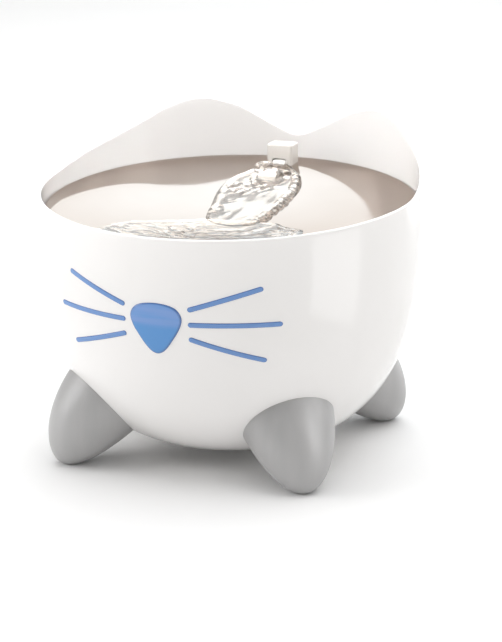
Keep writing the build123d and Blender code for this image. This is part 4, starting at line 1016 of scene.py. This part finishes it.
def water_heap(material):
    """The lumpy heap of water between the spout's mouth and the dome."""
    steps, sides = 16, 32
    rings = []
    for i in range(1, steps):
        slope = math.pi * i / steps
        ring = []
        for a in around(sides):
            way = Vector((math.sin(slope) * math.cos(a), math.sin(slope) * math.sin(a), math.cos(slope)))
            swell = 1 + 0.08 * noise.noise(way * 1.6)
            ring.append(LOBE + Vector(c * size * swell for c, size in zip(way, LOBE_SIZE)))
        rings.append(ring)
    return piece_from("lobe", *skin(rings), material)


def rim_beads(material):
    """Beads of water strung along the stream's right rim, one on each point, by geometry nodes."""
    points, radii = [], []
    for i in range(BEADS):
        row_y = BEAD_Y[0] + (BEAD_Y[1] - BEAD_Y[0]) * i / (BEADS - 1)
        x, y, z = stream_spot(row_y, 0.83 + 0.06 * noise.noise(Vector((i * 0.7, 1.0, 0))))
        points.append((x, y, z + BEAD_RISE))
        radii.append((BEAD_R + 1.1 * noise.noise(Vector((i * 0.9, 3.0, 5.0)))) * MM)
    beads = bare_points("beads", points)
    beads.data.attributes.new("bead_radius", "FLOAT", "POINT").data.foreach_set("value", radii)

    tree, given = start_tree("beads_along_the_rim", "Flattening", "Float")
    drop = add_node(tree, "GeometryNodeMeshIcoSphere", inputs={"Radius": 1.0, "Subdivisions": 3})
    radius = add_node(
        tree, "GeometryNodeInputNamedAttribute", {"data_type": "FLOAT"}, {"Name": "bead_radius"}
    ).outputs["Attribute"]
    tall = add_node(
        tree, "ShaderNodeMath", {"operation": "MULTIPLY"}, {0: radius, 1: given["Flattening"]}
    )
    scale = add_node(
        tree, "ShaderNodeCombineXYZ", inputs={"X": radius, "Y": radius, "Z": tall.outputs["Value"]}
    )
    stand_copies(
        beads, tree, given, {"Instance": drop.outputs["Mesh"], "Scale": scale.outputs["Vector"]},
        {"Flattening": 0.8, "Finish": material},
    )
    return applied(beads)


def join(first, others):
    """One mesh from several pieces."""
    work = bmesh.new()
    for piece in [first] + others:
        work.from_mesh(piece.data)
    work.to_mesh(first.data)
    work.free()
    for piece in others:
        bpy.data.objects.remove(piece)
    return first


def make_stream(material, aerated):
    """Water from the spout: it lands, domes up and runs forward between thick beaded rims, in one skin."""
    sheet = stream_sheet(material)
    make_jet(aerated)
    stream = join(sheet, [water_heap(material), rim_beads(material)])
    remesh = stream.modifiers.new("one skin", "REMESH")
    remesh.mode = "VOXEL"
    remesh.voxel_size = STREAM_VOXEL * MM
    remesh.use_smooth_shade = True
    settle = stream.modifiers.new("settle", "SMOOTH")
    settle.factor = 0.5
    settle.iterations = 6
    applied(stream)
    stream.data.materials.clear()
    stream.data.materials.append(material)
    stream.data.shade_smooth()
    dress(stream, "dish", "water", "water_stream")


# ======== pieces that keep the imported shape
def softened(node, material, slot, bevel_mm):
    """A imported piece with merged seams, rounded edges and smooth curves."""
    source = frame["nodes"][node]
    mesh = source.data.copy()
    work = bmesh.new()
    work.from_mesh(mesh)
    bmesh.ops.remove_doubles(work, verts=work.verts, dist=1e-6)
    bmesh.ops.dissolve_limit(
        work, angle_limit=math.radians(0.5), verts=work.verts, edges=work.edges,
        use_dissolve_boundaries=False,
    )
    work.to_mesh(mesh)
    work.free()
    mesh.materials.clear()
    mesh.materials.append(material)
    piece = put_in_scene(node + "_finished", mesh)
    soften_edges(piece, bevel_mm, 2)
    dress(piece, source["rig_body"], slot, node)


def make_inner_pieces(lens):
    """Everything under the dish, each in its own finish; the level light is the nose's plastic."""
    finishes = (
        (moulded("moulded_grey_polypropylene", "8E9499", "82888D", (0.40, 0.52), 15.0, 0.8, 0.03),
         "grey_pp", {"pump_housing": 0.4, "housing_lid": 0.4}),
        (lens, "blue_lens", {"level_light": 0.0}),
        (clear_silicone(), "clear_silicone", {"suction_cups": 0.2, "riser_tube": 0.2, "spout_grommet": 0.2}),
        (moulded("moulded_white_polypropylene", "E4E3DE", "DAD9D3", (0.38, 0.50), 12.0, 0.8, 0.03),
         "white_pp", {"filter_frame": 0.25, "impeller": 0.15}),
        (open_foam(), "foam", {"filter_foam": 0.3}),
        (carbon_felt(), "carbon_felt", {"filter_carbon": 0.3}),
        (moulded("moulded_black_abs", "26282A", "1D1F20", (0.32, 0.46), 10.0, 0.6, 0.04),
         "black_abs", {"pump_shell": 0.3, "volute_cover": 0.3, "intake_strainer": 0.25}),
        (moulded("moulded_black_rubber", "202122", "181919", (0.65, 0.80), 8.0, 0.5, 0.04),
         "black_rubber", {"cable_gland": 0.2, "cover_seal": 0.1}),
        (moulded("moulded_grey_rubber", "9A9C9D", "8C8E8F", (0.60, 0.75), 8.0, 0.5, 0.04),
         "rubber_grey", {"cable_grommet": 0.3, "front_bush": 0.1, "rear_bush": 0.1}),
        (core_steel(), "core_steel", {"stator_core": 0.1}),
        (winding_copper(), "copper", {"winding": 0.3}),
        (moulded("cast_black_resin", "16171A", "101114", (0.08, 0.20), 9.0, 3.0, 0.05),
         "black_resin", {"sealing_resin": 0.2}),
        (moulded("ground_alumina_ceramic", "EFEDE6", "E4E2DA", (0.12, 0.20), 4.0, 0.4, 0.01, {"IOR": 1.76}),
         "ceramic", {"ceramic_shaft": 0.0}),
        (moulded("pressed_ferrite", "3B3C3E", "2D2E30", (0.45, 0.60), 5.0, 0.5, 0.05),
         "ferrite", {"rotor_magnet": 0.1}),
    )
    for material, slot, bevels in finishes:
        for node, bevel_mm in bevels.items():
            softened(node, material, slot, bevel_mm)


# ======== studio
def make_floor():
    """Plain pale sweep under the object, wide enough to reach the horizon of a low view."""
    half, squares = 9000.0, 8
    mesh = bpy.data.meshes.new("floor")
    work = bmesh.new()
    bmesh.ops.create_grid(work, x_segments=squares, y_segments=squares, size=half * MM)
    work.to_mesh(mesh)
    work.free()
    mesh.materials.append(moulded("matt_white_sweep", "FAFAFA", "F8F8F8", (0.7, 0.8), 300.0, 4.0, 0.01))
    floor = put_in_scene("floor", mesh)


def softbox(name, place, aim, width, height, radiance, spread=180, diffuse=True, glossy=True):
    """An even rectangular light that faces its aim, with places and sizes in metres.

    diffuse and glossy say whether it lights matt surfaces, and whether it shows in shiny ones.
    """
    data = bpy.data.lights.new(name, "AREA")
    data.shape = "RECTANGLE"
    data.size, data.size_y = width, height
    data.energy = radiance * math.pi * width * height
    data.spread = math.radians(spread)
    lamp = put_in_scene(name, data)
    facing = (Vector(aim) - Vector(place)).to_track_quat("-Z", "Y")
    lamp.matrix_world = Matrix.Translation(place) @ facing.to_matrix().to_4x4()
    lamp.visible_camera = False
    lamp.visible_diffuse = diffuse
    lamp.visible_glossy = glossy
    return lamp


def light_studio():
    """White surroundings, a key light from the left, a fill from the right and a wide soft light above.

    The steel reflects a fainter ceiling and a cool wall behind. A narrow pair lights the inside of the bowl,
    and four strips on the right show only as streaks in the glossy wall and feet.
    """
    world = bpy.data.worlds.new("white_studio")
    bpy.context.scene.world = world
    world.use_nodes = True
    surroundings = world.node_tree.nodes["Background"]
    surroundings.inputs["Color"].default_value = linear("FFFEFC")
    surroundings.inputs["Strength"].default_value = 0.40
    middle = (0.0, 0.0, 0.12)
    softbox("key", (-1.75, -0.75, 0.85), middle, 1.2, 1.2, 3.35)
    softbox("right_fill", (1.55, 0.0, 1.4), middle, 1.6, 1.6, 0.5)
    softbox("overhead", (0.0, 0.5, 2.3), middle, 3.0, 3.0, 2.05, glossy=False)
    softbox("ceiling", (0.0, 0.7, 2.4), middle, 3.0, 3.0, 0.8, diffuse=False)
    behind = softbox("behind", (0.1, 1.6, 1.25), middle, 2.4, 2.3, 1.86, diffuse=False)
    behind.data.color = linear("ECF7FE")[:3]
    for side, radiance in ((1, 0.7), (-1, 0.61)):
        place, aim = (side * 0.45, -0.45, 0.75), (side * -0.08, 0.06, 0.19)
        softbox("into_bowl", place, aim, 0.2, 0.2, radiance, spread=20, glossy=False)
    strips = (
        ("strip_right", (1.49, -0.16, 0.7), middle, 0.7, 0.9, 3.2),
        ("strip_far_right", (1.3, 0.75, 0.8), middle, 0.45, 0.9, 3.0),
        ("low_strip_right", (0.283, -0.08, 0.06), (0.09, -0.09, 0.06), 0.144, 0.1, 1.5),
        ("low_strip_behind", (0.34, 0.6, 0.12), (0.11, 0.0, 0.12), 0.2, 0.24, 1.7),
    )
    for strip in strips:
        softbox(*strip, diffuse=False)


def place_camera():
    """Long lens at a low three-quarter angle from the front right."""
    azimuth, elevation, roll = (math.radians(v) for v in (21.585, 15.6, -0.169))
    target, distance = Vector((13.278, -0.709, 77.005)) * MM, 1.5419
    flat = math.cos(elevation)
    back = Vector((math.sin(azimuth) * flat, -math.cos(azimuth) * flat, math.sin(elevation)))
    level = Vector((0, 0, 1)).cross(back).normalized()
    upward = back.cross(level)
    right = level * math.cos(roll) + upward * math.sin(roll)
    data = bpy.data.cameras.new("camera")
    data.lens = 143.506
    data.sensor_width = 36.0
    camera = put_in_scene("camera", data)
    turn = Matrix((right, back.cross(right), back)).transposed().to_4x4()
    camera.matrix_world = Matrix.Translation(target + back * distance) @ turn
    bpy.context.scene.camera = camera
    bpy.context.scene.view_settings.view_transform = "Standard"


place_camera()
light_studio()
make_floor()
white = white_abs()
lens_blue = blue_lens()
water = clear_water()
make_bowl(white)
make_ribs(white)
make_nose(lens_blue)
make_whiskers(blue_inlay())
make_feet(foot_silver())
make_dish(dish_steel())
softened("spout", spout_abs(), "spout_abs", 0.35)
make_pool(water)
make_stream(water, aerated_water())
make_inner_pieces(lens_blue)
